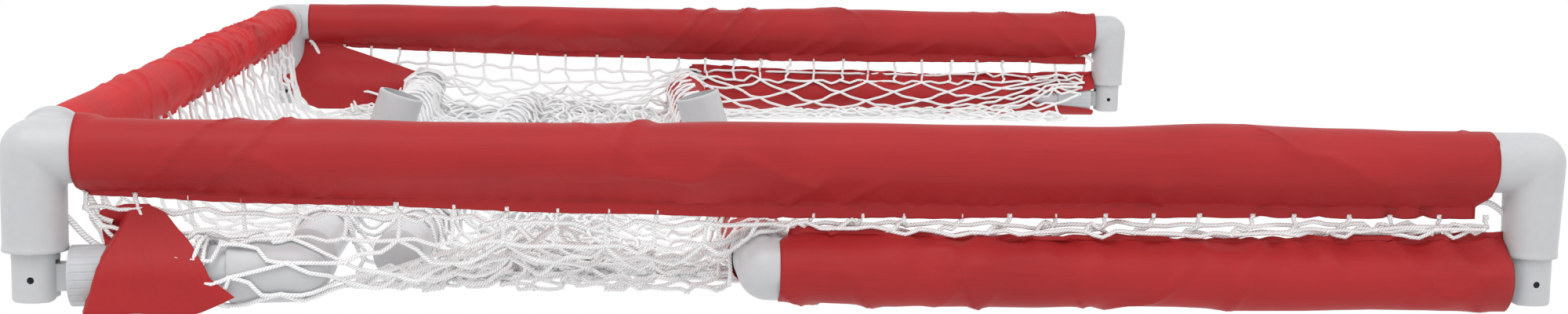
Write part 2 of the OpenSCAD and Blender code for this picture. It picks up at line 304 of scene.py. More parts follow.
@dataclass(frozen=True)
class RigidVinyl:
    """Unplasticised PVC: an opaque cool white with a soft satin gloss.

    Moulded fittings carry the fine grain of the mould and faint flow marks. Extruded tube has
    long faint lines from the die, along grain_axis, and light scuffs from use.
    """

    name: str
    light: str = "BBBCBE"
    dark: str = "B5B6B9"
    roughness: float = 0.36
    grain_mm: float = 0.9
    stretch: tuple[float, float, float] = (1.0, 1.0, 1.0)
    cloud_mm: float = 45.5
    flow_mm: float = 6.25
    scuff_mm: float = 16.7

    def material(self) -> bpy.types.Material:
        """Builds the material.

        Returns:
            The material.
        """
        n = Nodes(self.name)
        place = n.add("TexCoord").outputs["Object"]
        lined = n.add("Mapping", {"Vector": place, "Scale": self.stretch}).outputs["Vector"]
        cloud = n.add("TexNoise", {"Vector": place, "Scale": cells(self.cloud_mm), "Detail": 5.0,
                                   "Roughness": 0.6})
        flow = n.add("TexNoise", {"Vector": lined, "Scale": cells(self.flow_mm), "Detail": 3.0})
        mixed = n.add("Mix", {0: 0.45, 2: cloud.outputs["Fac"], 3: flow.outputs["Fac"]})
        colour = n.ramp(mixed.outputs[0], [(0.25, self.dark), (0.6, self.light), (0.8, self.light)])
        grain = n.add("TexNoise", {"Vector": place, "Scale": cells(self.grain_mm), "Detail": 2.0})
        scuff = n.add("TexNoise", {"Vector": lined, "Scale": cells(self.scuff_mm), "Detail": 8.0,
                                   "Roughness": 0.7})
        rough = n.add("MapRange", {"Value": scuff.outputs["Fac"], "From Min": 0.35, "From Max": 0.72,
                                   "To Min": self.roughness - 0.06, "To Max": self.roughness + 0.16})
        low = n.add("Bump", {"Height": flow.outputs["Fac"], "Strength": 0.12, "Distance": 0.4 * MM})
        bump = n.add("Bump", {"Height": grain.outputs["Fac"], "Strength": 0.16,
                              "Distance": 0.15 * MM, "Normal": low.outputs["Normal"]})
        return n.finish(Base_Color=colour, Roughness=rough.outputs[0], IOR=1.53,
                        Specular_IOR_Level=0.5, Normal=bump.outputs["Normal"])


@dataclass(frozen=True)
class SatinPolyester:
    """Woven satin polyester with a coated back: deep even colour and a soft broad sheen.

    Real threads lie about 0.25 mm apart. The weave is drawn at 1 mm, as coarse as it needs to
    show, and slubs of uneven yarn run along it. Loose cloth has a faint overall crumple.
    """

    name: str
    lit: str = "AA2427"
    mid: str = "A12225"
    deep: str = "931D20"
    thread_mm: float = 1.0
    gloss: float = 0.25
    sheen: float = 0.05
    sheen_tint: str = "E07070"
    slub_mm: tuple[float, float] = (71.4, 2.38)
    cloud_mm: float = 111.0
    crumple_mm: float = 18.2

    WAVE_RADIANS = 20

    def material(self) -> bpy.types.Material:
        """Builds the material.

        Returns:
            The material.
        """
        n = Nodes(self.name)
        uv = n.add("UVMap", uv_map="cloth_metres").outputs["UV"]
        place = n.add("TexCoord").outputs["Object"]
        # A wave texture turns through WAVE_RADIANS for each unit, so this gives one wave a thread.
        turns = cells(self.thread_mm) * math.tau / self.WAVE_RADIANS
        warp, weft = (n.add("TexWave", {"Vector": uv, "Scale": turns, "Distortion": 0.4, "Detail": 1.0},
                            bands_direction=way).outputs["Fac"] for way in "XY")
        weave = n.add("Math", {0: warp, 1: weft}, operation="MULTIPLY")
        yarn_scale = (cells(self.slub_mm[0]), cells(self.slub_mm[1]), 1.0)
        yarn = n.add("Mapping", {"Vector": uv, "Scale": yarn_scale}).outputs["Vector"]
        slub = n.add("TexNoise", {"Vector": yarn, "Scale": 1.0, "Detail": 3.0})
        cloud = n.add("TexNoise", {"Vector": place, "Scale": cells(self.cloud_mm), "Detail": 6.0,
                                   "Roughness": 0.62})
        mixed = n.add("Mix", {0: 0.3, 2: cloud.outputs["Fac"], 3: slub.outputs["Fac"]})
        colour = n.ramp(mixed.outputs[0], [(0.28, self.deep), (0.5, self.mid), (0.72, self.lit)])
        crumple = n.add("TexNoise", {"Vector": place, "Scale": cells(self.crumple_mm), "Detail": 4.0,
                                     "Roughness": 0.55})
        low = n.add("Bump", {"Height": crumple.outputs["Fac"], "Strength": 0.25, "Distance": 1.6 * MM})
        mid = n.add("Bump", {"Height": slub.outputs["Fac"], "Strength": 0.12, "Distance": 0.4 * MM,
                             "Normal": low.outputs["Normal"]})
        bump = n.add("Bump", {"Height": weave.outputs[0], "Strength": 0.25, "Distance": 0.25 * MM,
                              "Normal": mid.outputs["Normal"]})
        rough = n.add("MapRange", {"Value": cloud.outputs["Fac"], "To Min": 0.42, "To Max": 0.62})
        return n.finish(Base_Color=colour, Roughness=rough.outputs[0], IOR=1.5,
                        Specular_IOR_Level=self.gloss, Sheen_Weight=self.sheen, Sheen_Roughness=0.4,
                        Sheen_Tint=srgb(self.sheen_tint), Normal=bump.outputs["Normal"])


@dataclass(frozen=True)
class TwistedCord:
    """Three-strand twisted polyester cord: bright white, with painted shade in the grooves between strands."""

    name: str
    light: str = "FCFCFC"
    mid: str = "F4F5F5"
    # Painted shade: the colour of the grooves between strands, darker than the white cord.
    groove_shade: str = "DCDFE1"
    lay_mm: float = 7.0
    strands: int = 3
    fuzz_mm: float = 1.11
    soil_mm: float = 71.4

    def material(self) -> bpy.types.Material:
        """Builds the material.

        Returns:
            The material.
        """
        n = Nodes(self.name)
        uv = n.add("UVMap", uv_map="cord_run").outputs["UV"]
        parts = n.add("SeparateXYZ", {"Vector": uv})
        along = n.add("Math", {0: parts.outputs["X"], 1: self.strands * cells(self.lay_mm)},
                      operation="MULTIPLY")
        turned = n.add("Math", {0: parts.outputs["Y"], 1: float(self.strands),
                                2: along.outputs[0]}, operation="MULTIPLY_ADD")
        phase = n.add("Math", {0: turned.outputs[0], 1: math.pi}, operation="MULTIPLY")
        wave = n.add("Math", {0: phase.outputs[0]}, operation="SINE")
        strand = n.add("Math", {0: wave.outputs[0]}, operation="ABSOLUTE")
        place = n.add("TexCoord").outputs["Object"]
        fuzz = n.add("TexNoise", {"Vector": place, "Scale": cells(self.fuzz_mm), "Detail": 2.0})
        soil = n.add("TexNoise", {"Vector": place, "Scale": cells(self.soil_mm), "Detail": 4.0})
        # Painted shade in the grooves between strands, mixed with real soiling from the soil noise.
        groove_shade_and_soil = n.add("Mix", {0: 0.3, 2: strand.outputs[0], 3: soil.outputs["Fac"]})
        colour = n.ramp(groove_shade_and_soil.outputs[0], [(0.12, self.groove_shade), (0.45, self.mid), (0.8, self.light)])
        low = n.add("Bump", {"Height": strand.outputs[0], "Strength": 0.9, "Distance": 0.6 * MM})
        bump = n.add("Bump", {"Height": fuzz.outputs["Fac"], "Strength": 0.3, "Distance": 0.2 * MM,
                              "Normal": low.outputs["Normal"]})
        return n.finish(Base_Color=colour, Roughness=0.62, IOR=1.5, Specular_IOR_Level=0.3,
                        Sheen_Weight=0.15, Normal=bump.outputs["Normal"])


@dataclass(frozen=True)
class DarkSteel:
    """Blackened steel pin: dark, with the fine rings of the lathe."""

    name: str
    dark: str = "1E1E20"
    light: str = "34343A"
    spot_mm: float = 1.43

    def material(self) -> bpy.types.Material:
        """Builds the material.

        Returns:
            The material.
        """
        n = Nodes(self.name)
        place = n.add("TexCoord").outputs["Object"]
        spots = n.add("TexNoise", {"Vector": place, "Scale": cells(self.spot_mm), "Detail": 3.0})
        colour = n.ramp(spots.outputs["Fac"], [(0.35, self.dark), (0.65, self.light)])
        bump = n.add("Bump", {"Height": spots.outputs["Fac"], "Strength": 0.2, "Distance": 0.1 * MM})
        return n.finish(Base_Color=colour, Metallic=0.9, Roughness=0.42, Normal=bump.outputs["Normal"])


class Finish(Enum):
    """The finishes on the goal."""

    FITTING = RigidVinyl("moulded_rigid_vinyl")
    TUBE_X = RigidVinyl("extruded_rigid_vinyl_along_x", "C6C8CA", "BCBEC1", 0.3, 0.7, (0.02, 1.0, 1.0))
    TUBE_Y = RigidVinyl("extruded_rigid_vinyl_along_y", "C6C8CA", "BCBEC1", 0.3, 0.7, (1.0, 0.02, 1.0))
    COLLAR = RigidVinyl("moulded_grooved_vinyl", "B8BABD", "A9ACAF", 0.46, 0.8)
    SATIN = SatinPolyester("satin_polyester_red")
    # Painted light: the same red satin in lighter colours for the lit crossbar, with its gloss and sheen turned
    # down.
    PAINTED_LIT_SATIN = SatinPolyester("satin_polyester_red_taut", "CE2D30", "BF282B", "9E2024",
                                  gloss=0.05, sheen=0.0)
    CORD = TwistedCord("twisted_polyester_cord")
    STEEL = DarkSteel("blackened_steel")


class Wardrobe:
    """Makes each finish's material once."""

    def __init__(self) -> None:
        """Starts with no material made."""
        self.made: dict[Finish, bpy.types.Material] = {}

    def get(self, finish: Finish) -> bpy.types.Material:
        """The material of a finish.

        Args:
            finish: The finish.

        Returns:
            Its material, made on the first call.
        """
        if finish not in self.made:
            self.made[finish] = finish.value.material()
        return self.made[finish]

    def dress(self, obj: bpy.types.Object, finish: Finish) -> None:
        """Gives an object one finish all over.

        Args:
            obj: The object.
            finish: The finish.
        """
        obj.data.materials.clear()
        obj.data.materials.append(self.get(finish))

    def deliver(self, obj: bpy.types.Object, finish: Finish, slot: str, nodes: Sequence[str] = (),
                body: str = "") -> None:
        """Args:
            obj: The piece.
            finish: Its finish.
            slot: Not used.
            nodes: The nodes that it stands for.
            body: The body that it rides on; it rides on none if this is empty.
        """
        self.dress(obj, finish)
        if body:
            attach(obj, body)
        if nodes:
            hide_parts(*nodes)


# ---------------------------------------------------------------- meshes

def mesh_piece(name: str, points: np.ndarray, faces: np.ndarray, uv_name: str,
               uv: np.ndarray) -> bpy.types.Object:
    """Makes a smooth mesh object.

    Args:
        name: Name of the piece.
        points: Vertices, one row each.
        faces: Four vertex numbers a row.
        uv_name: Name of the UV map.
        uv: Two numbers for each corner of each face, in the faces' order.

    Returns:
        The object, at the origin.
    """
    mesh = bpy.data.meshes.new(name)
    mesh.vertices.add(len(points))
    mesh.vertices.foreach_set("co", np.asarray(points, np.float32).ravel())
    mesh.loops.add(faces.size)
    mesh.loops.foreach_set("vertex_index", faces.astype(np.int32).ravel())
    mesh.polygons.add(len(faces))
    width = faces.shape[1]
    mesh.polygons.foreach_set("loop_start", np.arange(0, faces.size, width, dtype=np.int32))
    mesh.polygons.foreach_set("loop_total", np.full(len(faces), width, np.int32))
    mesh.polygons.foreach_set("use_smooth", np.ones(len(faces), bool))
    mesh.update(calc_edges=True)
    layer = mesh.uv_layers.new(name=uv_name)
    layer.data.foreach_set("uv", np.asarray(uv, np.float32).ravel())
    mesh.validate()
    obj = bpy.data.objects.new(name, mesh)
    bpy.context.scene.collection.objects.link(obj)
    return obj


def apply_modifiers(obj: bpy.types.Object) -> None:
    """Applies all of an object's modifiers.

    Args:
        obj: The object.
    """
    bpy.ops.object.select_all(action="DESELECT")
    bpy.context.view_layer.objects.active = obj
    obj.select_set(True)
    for modifier in list(obj.modifiers):
        bpy.ops.object.modifier_apply(modifier=modifier.name)
    obj.select_set(False)


def cloth_piece(name: str, grid: np.ndarray, closed: bool, thickness: float) -> bpy.types.Object:
    """Makes cloth from a grid of points and gives it its thickness.

    Args:
        name: Name of the piece.
        grid: Points, as (along, around, 3).
        closed: Whether the last column joins the first.
        thickness: Thickness of the cloth.

    Returns:
        The cloth.
    """
    rows, columns = grid.shape[:2]
    wide = columns if closed else columns - 1
    i, j = np.meshgrid(np.arange(rows - 1), np.arange(wide), indexing="ij")
    k = (j + 1) % columns
    faces = np.stack([i * columns + j, i * columns + k, (i + 1) * columns + k,
                      (i + 1) * columns + j], -1).reshape(-1, 4)
    ring = np.concatenate([grid, grid[:, :1]], 1) if closed else grid
    along = np.zeros(rows)
    along[1:] = np.cumsum(np.linalg.norm(np.diff(grid.mean(1), axis=0), axis=1))
    around = np.zeros(ring.shape[:2])
    around[:, 1:] = np.cumsum(np.linalg.norm(np.diff(ring, axis=1), axis=2), 1)
    around = np.broadcast_to(around.mean(0), around.shape)
    along = np.broadcast_to(along[:, None], around.shape)
    flat = np.stack([along, around], -1)
    corners = [flat[i, j], flat[i, j + 1], flat[i + 1, j + 1], flat[i + 1, j]]
    obj = mesh_piece(name, grid.reshape(-1, 3), faces, "cloth_metres", np.stack(corners, 2))
    solid = obj.modifiers.new("thickness", "SOLIDIFY")
    solid.thickness = thickness
    solid.offset = 0
    apply_modifiers(obj)
    return obj


# ---------------------------------------------------------------- frame

@dataclass
class PlasticFrame:
    """The tubes, clevises, tongues, collars and pins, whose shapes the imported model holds."""

    wardrobe: Wardrobe

    def finish_of(self, node: str) -> Finish:
        """The finish of a rigid node.

        Args:
            node: Name of the node.

        Returns:
            Its finish.
        """
        if node == "hinge_pins":
            return Finish.STEEL
        if "collar" in node:
            return Finish.COLLAR
        if not node.endswith("tube"):
            return Finish.FITTING
        across = any(word in node for word in ("crossbar", "rear", "support"))
        return Finish.TUBE_Y if across else Finish.TUBE_X

    def build(self) -> None:
        """Dresses every rigid node."""
        for name, obj in frame["nodes"].items():
            if "sleeve" not in name and "net" not in name.split("_"):
                self.wardrobe.dress(obj, self.finish_of(name))
        log.info("dressed the tubes and fittings")


@dataclass(frozen=True)
class Arm:
    """A round arm of a fitting: where it points, how long and thick it is, and its bore."""

    way: tuple[float, float, float]
    length: float
    end_r: float
    bore_r: float
    bore_depth: float
    lip_r: float = 0.0
    lip_w: float = 0.0


@dataclass
class MouldedFittings:
    """Elbows, corners and tees as moulded: soft inner corners, round heels and bored sockets."""

    layout: Layout
    wardrobe: Wardrobe
    radius: float = 22.25 * MM
    socket_r: float = 19.12 * MM
    socket_depth: float = 28 * MM
    arm: float = 48 * MM
    head_arm: float = 63 * MM
    ring_r: float = 25 * MM
    ring_w: float = 8 * MM
    down_arm: float = 69.6 * MM
    spigot_r: float = 16.57 * MM
    spigot_depth: float = 30 * MM
    foot_end_r: float = 20 * MM
    lip_over: float = 0.7 * MM
    lip_w: float = 3 * MM
    tee_half: float = 42 * MM
    tee_web: float = 8 * MM
    stub: float = 61 * MM
    stub_depth: float = 34 * MM
    cap_rise: float = 7 * MM
    cap_slack: float = 0.15 * MM
    bore_past: float = 5 * MM
    voxel: float = 1.2 * MM
    soft_share: float = 0.5
    soft_rounds: int = 7
    crease: float = math.radians(40)

    def cylinder(self, start: Vector, way: Vector, length: float, r1: float,
                 r2: float) -> bpy.types.Object:
        """Adds a round bar.

        Args:
            start: Middle of its first end.
            way: Unit direction.
            length: Length along the direction.
            r1: Radius at the first end.
            r2: Radius at the second end.

        Returns:
            The bar.
        """
        bpy.ops.mesh.primitive_cone_add(
            vertices=72, radius1=r1, radius2=r2, depth=length, location=start + way * length / 2,
            rotation=way.to_track_quat("Z", "Y").to_euler())
        return bpy.context.active_object

    def merge(self, parts: Sequence[bpy.types.Object], name: str) -> bpy.types.Object:
        """Joins objects into one and applies its place.

        Args:
            parts: The objects.
            name: Name of the result.

        Returns:
            The joined object, at the origin.
        """
        bpy.ops.object.select_all(action="DESELECT")
        for part in parts:
            part.select_set(True)
        bpy.context.view_layer.objects.active = parts[0]
        bpy.ops.object.join()
        obj = bpy.context.active_object
        obj.name = obj.data.name = name
        bpy.ops.object.transform_apply(location=True, rotation=True, scale=True)
        obj.select_set(False)
        return obj

    def build_one(self, node: str, centre: Vector, arms: Sequence[Arm], body: str) -> None:
        """Moulds one fitting in place of its node.

        Args:
            node: The node that it stands for.
            centre: Where its arms meet.
            arms: Its arms.
            body: The body that it rides on.
        """
        bpy.ops.object.select_all(action="DESELECT")
        bpy.ops.mesh.primitive_uv_sphere_add(segments=64, ring_count=32, radius=self.radius,
                                             location=centre)
        parts, bores = [bpy.context.active_object], []
        for arm in arms:
            way = Vector(arm.way).normalized()
            parts.append(self.cylinder(centre, way, arm.length, self.radius, arm.end_r))
            if arm.lip_r:
                start = centre + way * (arm.length - arm.lip_w)
                parts.append(self.cylinder(start, way, arm.lip_w, arm.lip_r, arm.lip_r))
            start = centre + way * (arm.length - arm.bore_depth)
            depth = arm.bore_depth + self.bore_past
            bores.append(self.cylinder(start, way, depth, arm.bore_r, arm.bore_r))
        obj = self.merge(parts, f"{node}_moulded")
        cutter = self.merge(bores, f"{node}_bores")
        remesh = obj.modifiers.new("one_skin", "REMESH")
        remesh.mode = "VOXEL"
        remesh.voxel_size = self.voxel
        soft = obj.modifiers.new("soft_corners", "SMOOTH")
        soft.factor, soft.iterations = self.soft_share, self.soft_rounds
        cut = obj.modifiers.new("bores", "BOOLEAN")
        cut.operation, cut.solver, cut.object = "DIFFERENCE", "EXACT", cutter
        cut.use_self = False
        apply_modifiers(obj)
        bpy.data.objects.remove(cutter)
        bpy.context.view_layer.objects.active = obj
        obj.select_set(True)
        bpy.ops.object.shade_smooth_by_angle(angle=self.crease)
        obj.select_set(False)
        self.wardrobe.deliver(obj, Finish.FITTING, "fitting_plastic", [node], body)

    def end_caps(self) -> None:
        """Closes the loose support tube's ends with low domed caps."""
        lay = self.layout
        low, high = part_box("support_tube")
        across = (high.x - low.x - 2 * lay.tube_r) / (high.y - low.y)
        way = Vector((across, 1, 0)).normalized()
        middle = (low + high) / 2
        middle.z = low.z + lay.tube_r
        half = (high.y - low.y) / 2 / way.y - lay.tube_r * abs(way.x)
        for name, end in (("near", -1), ("far", 1)):
            bpy.ops.object.select_all(action="DESELECT")
            bpy.ops.mesh.primitive_uv_sphere_add(segments=48, ring_count=24, radius=1.0,
                                                 location=middle + way * end * half)
            obj = bpy.context.active_object
            obj.name = f"support_{name}_cap"
            obj.scale = (lay.tube_r - self.cap_slack, lay.tube_r - self.cap_slack, self.cap_rise)
            obj.rotation_euler = way.to_track_quat("Z", "Y").to_euler()
            bpy.ops.object.transform_apply(location=True, rotation=True, scale=True)
            bpy.ops.object.shade_smooth()
            obj.select_set(False)
            self.wardrobe.deliver(obj, Finish.FITTING, "tube_plastic", body="support")

    def plain_arm(self, way: tuple[float, float, float]) -> Arm:
        """A plain socket arm."""
        return Arm(way, self.arm, self.radius, self.socket_r, self.socket_depth)

    def down(self, end_r: float) -> Arm:
        """A down arm that ends in a lip and takes a clevis spigot."""
        return Arm((0, 0, -1), self.down_arm, end_r, self.spigot_r, self.spigot_depth,
                   end_r + self.lip_over, self.lip_w)

    def side_fittings(self, side: int) -> None:
        """Moulds the corner and the three elbows of one side.

        Args:
            side: Which side of the goal.
        """
        lay, plain = self.layout, self.plain_arm
        name, y = SIDE_NAMES[side], side * lay.y_side
        across = (0, -side, 0)
        head = Arm(across, self.head_arm, self.radius, self.socket_r, self.socket_depth,
                   self.ring_r, self.ring_w)
        self.build_one(f"{name}_top_corner", Vector((lay.x_head, y, lay.z_post)),
                       [plain((1, 0, 0)), head, self.down(self.radius)], "front_frame")
        self.build_one(f"{name}_foot_elbow", Vector((lay.x_foot, y, lay.z_post)),
                       [plain((-1, 0, 0)), self.down(self.foot_end_r)], "front_frame")
        for node, centre, pin, body in (
            ("shelf_elbow", lay.shelf_corner(side), lay.head_pin(side), "top_shelf"),
            ("base_elbow", lay.base_corner(side), lay.foot_pin(side), "base_frame"),
        ):
            self.build_one(f"{name}_{node}", centre, [plain(tuple(pin - centre)), plain(across)], body)

    def tee(self, node: str, x: float, z: float) -> None:
        """Moulds a tee, which is also its own body.

        Args:
            node: The tee's node.
            x: Place of its run's axis along X.
            z: Height of its run's axis.
        """
        axis = next(m["axis"] for m in frame["record"]["mounts"] if m["name"] == f"{node}_socket")
        stub = Arm(tuple(axis), self.stub, self.radius, self.socket_r, self.stub_depth)
        depth = self.tee_half - self.tee_web
        run = [Arm((0, s, 0), self.tee_half, self.radius, self.socket_r, depth) for s in (RIGHT, LEFT)]
        self.build_one(node, Vector((x, 0, z)), [stub, *run], node)

    def build(self) -> None:
        """Moulds every fitting."""
        for side in (RIGHT, LEFT):
            self.side_fittings(side)
        self.tee("shelf_tee", *self.layout.shelf_rear)
        self.tee("base_tee", *self.layout.base_rear)
        self.end_caps()
        log.info("moulded the fittings")


# ---------------------------------------------------------------- sleeves

@dataclass
class TubeSleeve:
    """A fabric sleeve round a tube, drawn to a seam and hem on one side.

    Its cross-section is an arc round the tube, two straight runs to the seam, and a double hem.
    """

    name: str
    body: str
    start: Vector
    end: Vector
    stands_for: tuple[str, ...]
    wrinkles: Wrinkles
    radius: Callable[[np.ndarray], np.ndarray]
    seam: Callable[[np.ndarray], np.ndarray]
    hem: Callable[[np.ndarray], np.ndarray]
    hem_inset: float = 0.0
    seam_up: bool = False
    clear_r: float = 22.5 * MM
    finish: Finish = Finish.SATIN
    held: str = "stretched"
    rests_on: tuple[str, ...] = ()
    thickness: float = 0.5 * MM
    step: float = 4 * MM
    hem_gap: float = 0.7 * MM
    inner_cut: float = 0.0
    slit: float = 0.0

    HEM_POINTS = 6
    RUN_POINTS = 9
    ARC_POINTS = 46
    SEAM_CLEAR = 1.04
    LEAST_HEM = 0.1 * MM
    HEM_SWAY = (1.3, 0.4)
    PULL_DEPTH = 10 * MM
    PULL_RUN = 100 * MM
    CUT_RUN = 90 * MM
    SLIT_RUN = 130 * MM
    SLIT_TALL = 10 * MM
    LOWEST = 0.8 * MM

    def section(self, along: np.ndarray) -> np.ndarray:
        """Cross-sections at each distance along the sleeve.

        Args:
            along: Distances from the start, in metres.

        Returns:
            Points as (along, around, 2): across the tube, and away from the seam.
        """
        r, s, h = (f(along)[:, None] for f in (self.radius, self.seam, self.hem))
        s = np.maximum(s, r * self.SEAM_CLEAR)
        turn = np.arccos(np.clip(r / s, -1, 1))
        hem = np.linspace(0, 1, self.HEM_POINTS, endpoint=False)[None]
        run = np.linspace(0, 1, self.RUN_POINTS, endpoint=False)[None]
        arc = np.linspace(-1, 1, self.ARC_POINTS)[None]
        angle = arc * (math.pi - turn)
        arc_points = np.stack([r * np.sin(angle), r * np.cos(angle)], -1)
        touch = arc_points[:, :1]
        gap = np.full_like(r, self.hem_gap)
        low = np.stack([-gap, -np.maximum(h, s + self.LEAST_HEM)], -1)
        join = np.stack([-gap, -s], -1)
        near_hem = low + (join - low) * hem[..., None]
        near_run = join + (touch - join) * run[..., None]
        mirror = np.array([-1.0, 1.0])
        far_run = (near_run * mirror)[:, ::-1]
        far_hem = (near_hem * mirror)[:, ::-1]
        return np.concatenate([near_hem, near_run, arc_points, far_run, far_hem], 1)

    def crumpled(self, flat: np.ndarray, along: np.ndarray) -> np.ndarray:
        """Wrinkles the cross-sections, and keeps them clear of the tube.

        Args:
            flat: The smooth cross-sections.
            along: Their distances from the start.

        Returns:
            The wrinkled cross-sections.
        """
        tangent = np.roll(flat, -1, 1) - np.roll(flat, 1, 1)
        tangent /= np.maximum(np.linalg.norm(tangent, axis=2, keepdims=True), 1e-9)
        out = np.stack([-tangent[..., 1], tangent[..., 0]], -1)
        steps = np.linalg.norm(np.diff(flat, axis=1), axis=2)
        around = np.concatenate([np.zeros((len(along), 1)), np.cumsum(steps, 1)], 1)
        around -= around[:, -1:] / 2
        seam = self.seam(along)[:, None]
        to_seam = np.abs(seam + flat[..., 1])
        reach_along = along[:, None] + 0 * around
        cloth = flat + out * self.wrinkles.height(reach_along, around, to_seam)[..., None]
        sway = self.wrinkles.height(reach_along, 0.2 + 0 * around, to_seam)
        swayed = flat + sway[..., None] * np.array(self.HEM_SWAY)
        cloth = np.where((flat[..., 1] < -seam)[..., None], swayed, cloth)
        reach = np.linalg.norm(cloth, axis=2)
        return cloth * np.maximum(1.0, self.clear_r / np.maximum(reach, 1e-6))[..., None]

    def drawn_in(self, flat: np.ndarray, along: np.ndarray) -> np.ndarray:
        """Distances along the sleeve, with the hem's two ends drawn in.

        Args:
            flat: The smooth cross-sections.
            along: Their distances from the start.

        Returns:
            A distance for each point of each cross-section.
        """
        low = np.clip(-flat[..., 1] - self.radius(along)[:, None], 0, None)
        pull = ease(low / self.PULL_DEPTH) * self.hem_inset
        middle = along[:, None] - along[-1] / 2
        near_end = ease((np.abs(middle) - along[-1] / 2) / self.PULL_RUN + 1)
        return along[:, None] - np.sign(middle) * pull * near_end

    def open_ends(self, points: np.ndarray, along: np.ndarray, ahead: Vector) -> None:
        """Cuts back the inner side of the first end and slits that of the other, if asked to.

        Args:
            points: The cloth, changed in place.
            along: Distances from the start.
            ahead: Unit direction of the sleeve.
        """
        inboard = -math.copysign(1, self.start.y)
        inward = inboard * (points[..., 1] - self.start.y) / self.clear_r
        back = ease(inward + 0.35) * ease(1 - along / self.CUT_RUN)[:, None]
        points += (back * self.inner_cut)[..., None] * np.array(ahead)
        level = points[..., 2] - (self.start.z + along[:, None] * ahead.z)
        gape = np.exp(-(level / self.SLIT_TALL)**4) * ease(inward)
        gape = gape * ease((along - along[-1]) / self.SLIT_RUN + 1)[:, None]
        points -= (gape * self.slit)[..., None] * np.array(ahead)

    def grid(self) -> np.ndarray:
        """Lays out the wrinkled cloth in the goal's frame.

        Returns:
            Points as (along, around, 3).
        """
        axis = self.end - self.start
        along = np.linspace(0, axis.length, int(axis.length / self.step))
        flat = self.section(along)
        cloth = self.crumpled(flat, along) * (-1.0 if self.seam_up else 1.0)
        ahead = axis.normalized()
        side = Vector((0, 0, 1)).cross(ahead).normalized()
        up = ahead.cross(side)
        points = (np.array(self.start) + self.drawn_in(flat, along)[..., None] * np.array(ahead)
                  + cloth[..., :1] * np.array(side) + cloth[..., 1:] * np.array(up))
        self.open_ends(points, along, ahead)
        points[..., 2] = np.maximum(points[..., 2], self.LOWEST)
        return points

    def build(self, wardrobe: Wardrobe) -> None:
        """Args:
            wardrobe: Where the materials come from.
        """
        obj = cloth_piece(self.name, self.grid(), True, self.thickness)
        wardrobe.deliver(obj, self.finish, "sleeve_fabric", self.stands_for, self.body)
        length = (self.end - self.start).length
        ring = self.section(np.array([length / 2]))[0]
        width = float(np.linalg.norm(np.diff(ring, axis=0), axis=1).sum())
        list(self.rests_on)
        log.info("built %s, cut %.0f x %.0f mm", self.name, width / MM, length / MM)


def profile(*stops: tuple[float, float]) -> Callable[[np.ndarray], np.ndarray]:
    """A size that runs smoothly through stops.

    Args:
        stops: Distances and values, in millimetres.

    Returns:
        A function from distances to sizes, both in metres.
    """
    places, values = np.array(stops).T * MM

    def at(along: np.ndarray) -> np.ndarray:
        """The size at each distance.

        Args:
            along: Distances in metres.

        Returns:
            Sizes in metres.
        """
        spot = np.clip(np.searchsorted(places, along) - 1, 0, len(places) - 2)
        share = (along - places[spot]) / (places[spot + 1] - places[spot])
        return values[spot] + (values[spot + 1] - values[spot]) * ease(share)

    return at


class PostHem:
    """Where the post sleeves begin and how deep their hems hang."""

    HEAD_GAP = 29 * MM
    FOOT_GAP = {RIGHT: 35 * MM, LEFT: 22 * MM}
    DEPTH = staticmethod(profile((0, 31), (150, 35.5), (350, 41), (520, 43.5), (800, 42), (1011, 42)))

    @classmethod
    def bottom(cls, layout: Layout, x: float) -> float:
        """Height of the hem's lower edge at a place along the post."""
        along = np.array([x - layout.x_head - cls.HEAD_GAP])
        return layout.z_post - float(cls.DEPTH(along)[0])


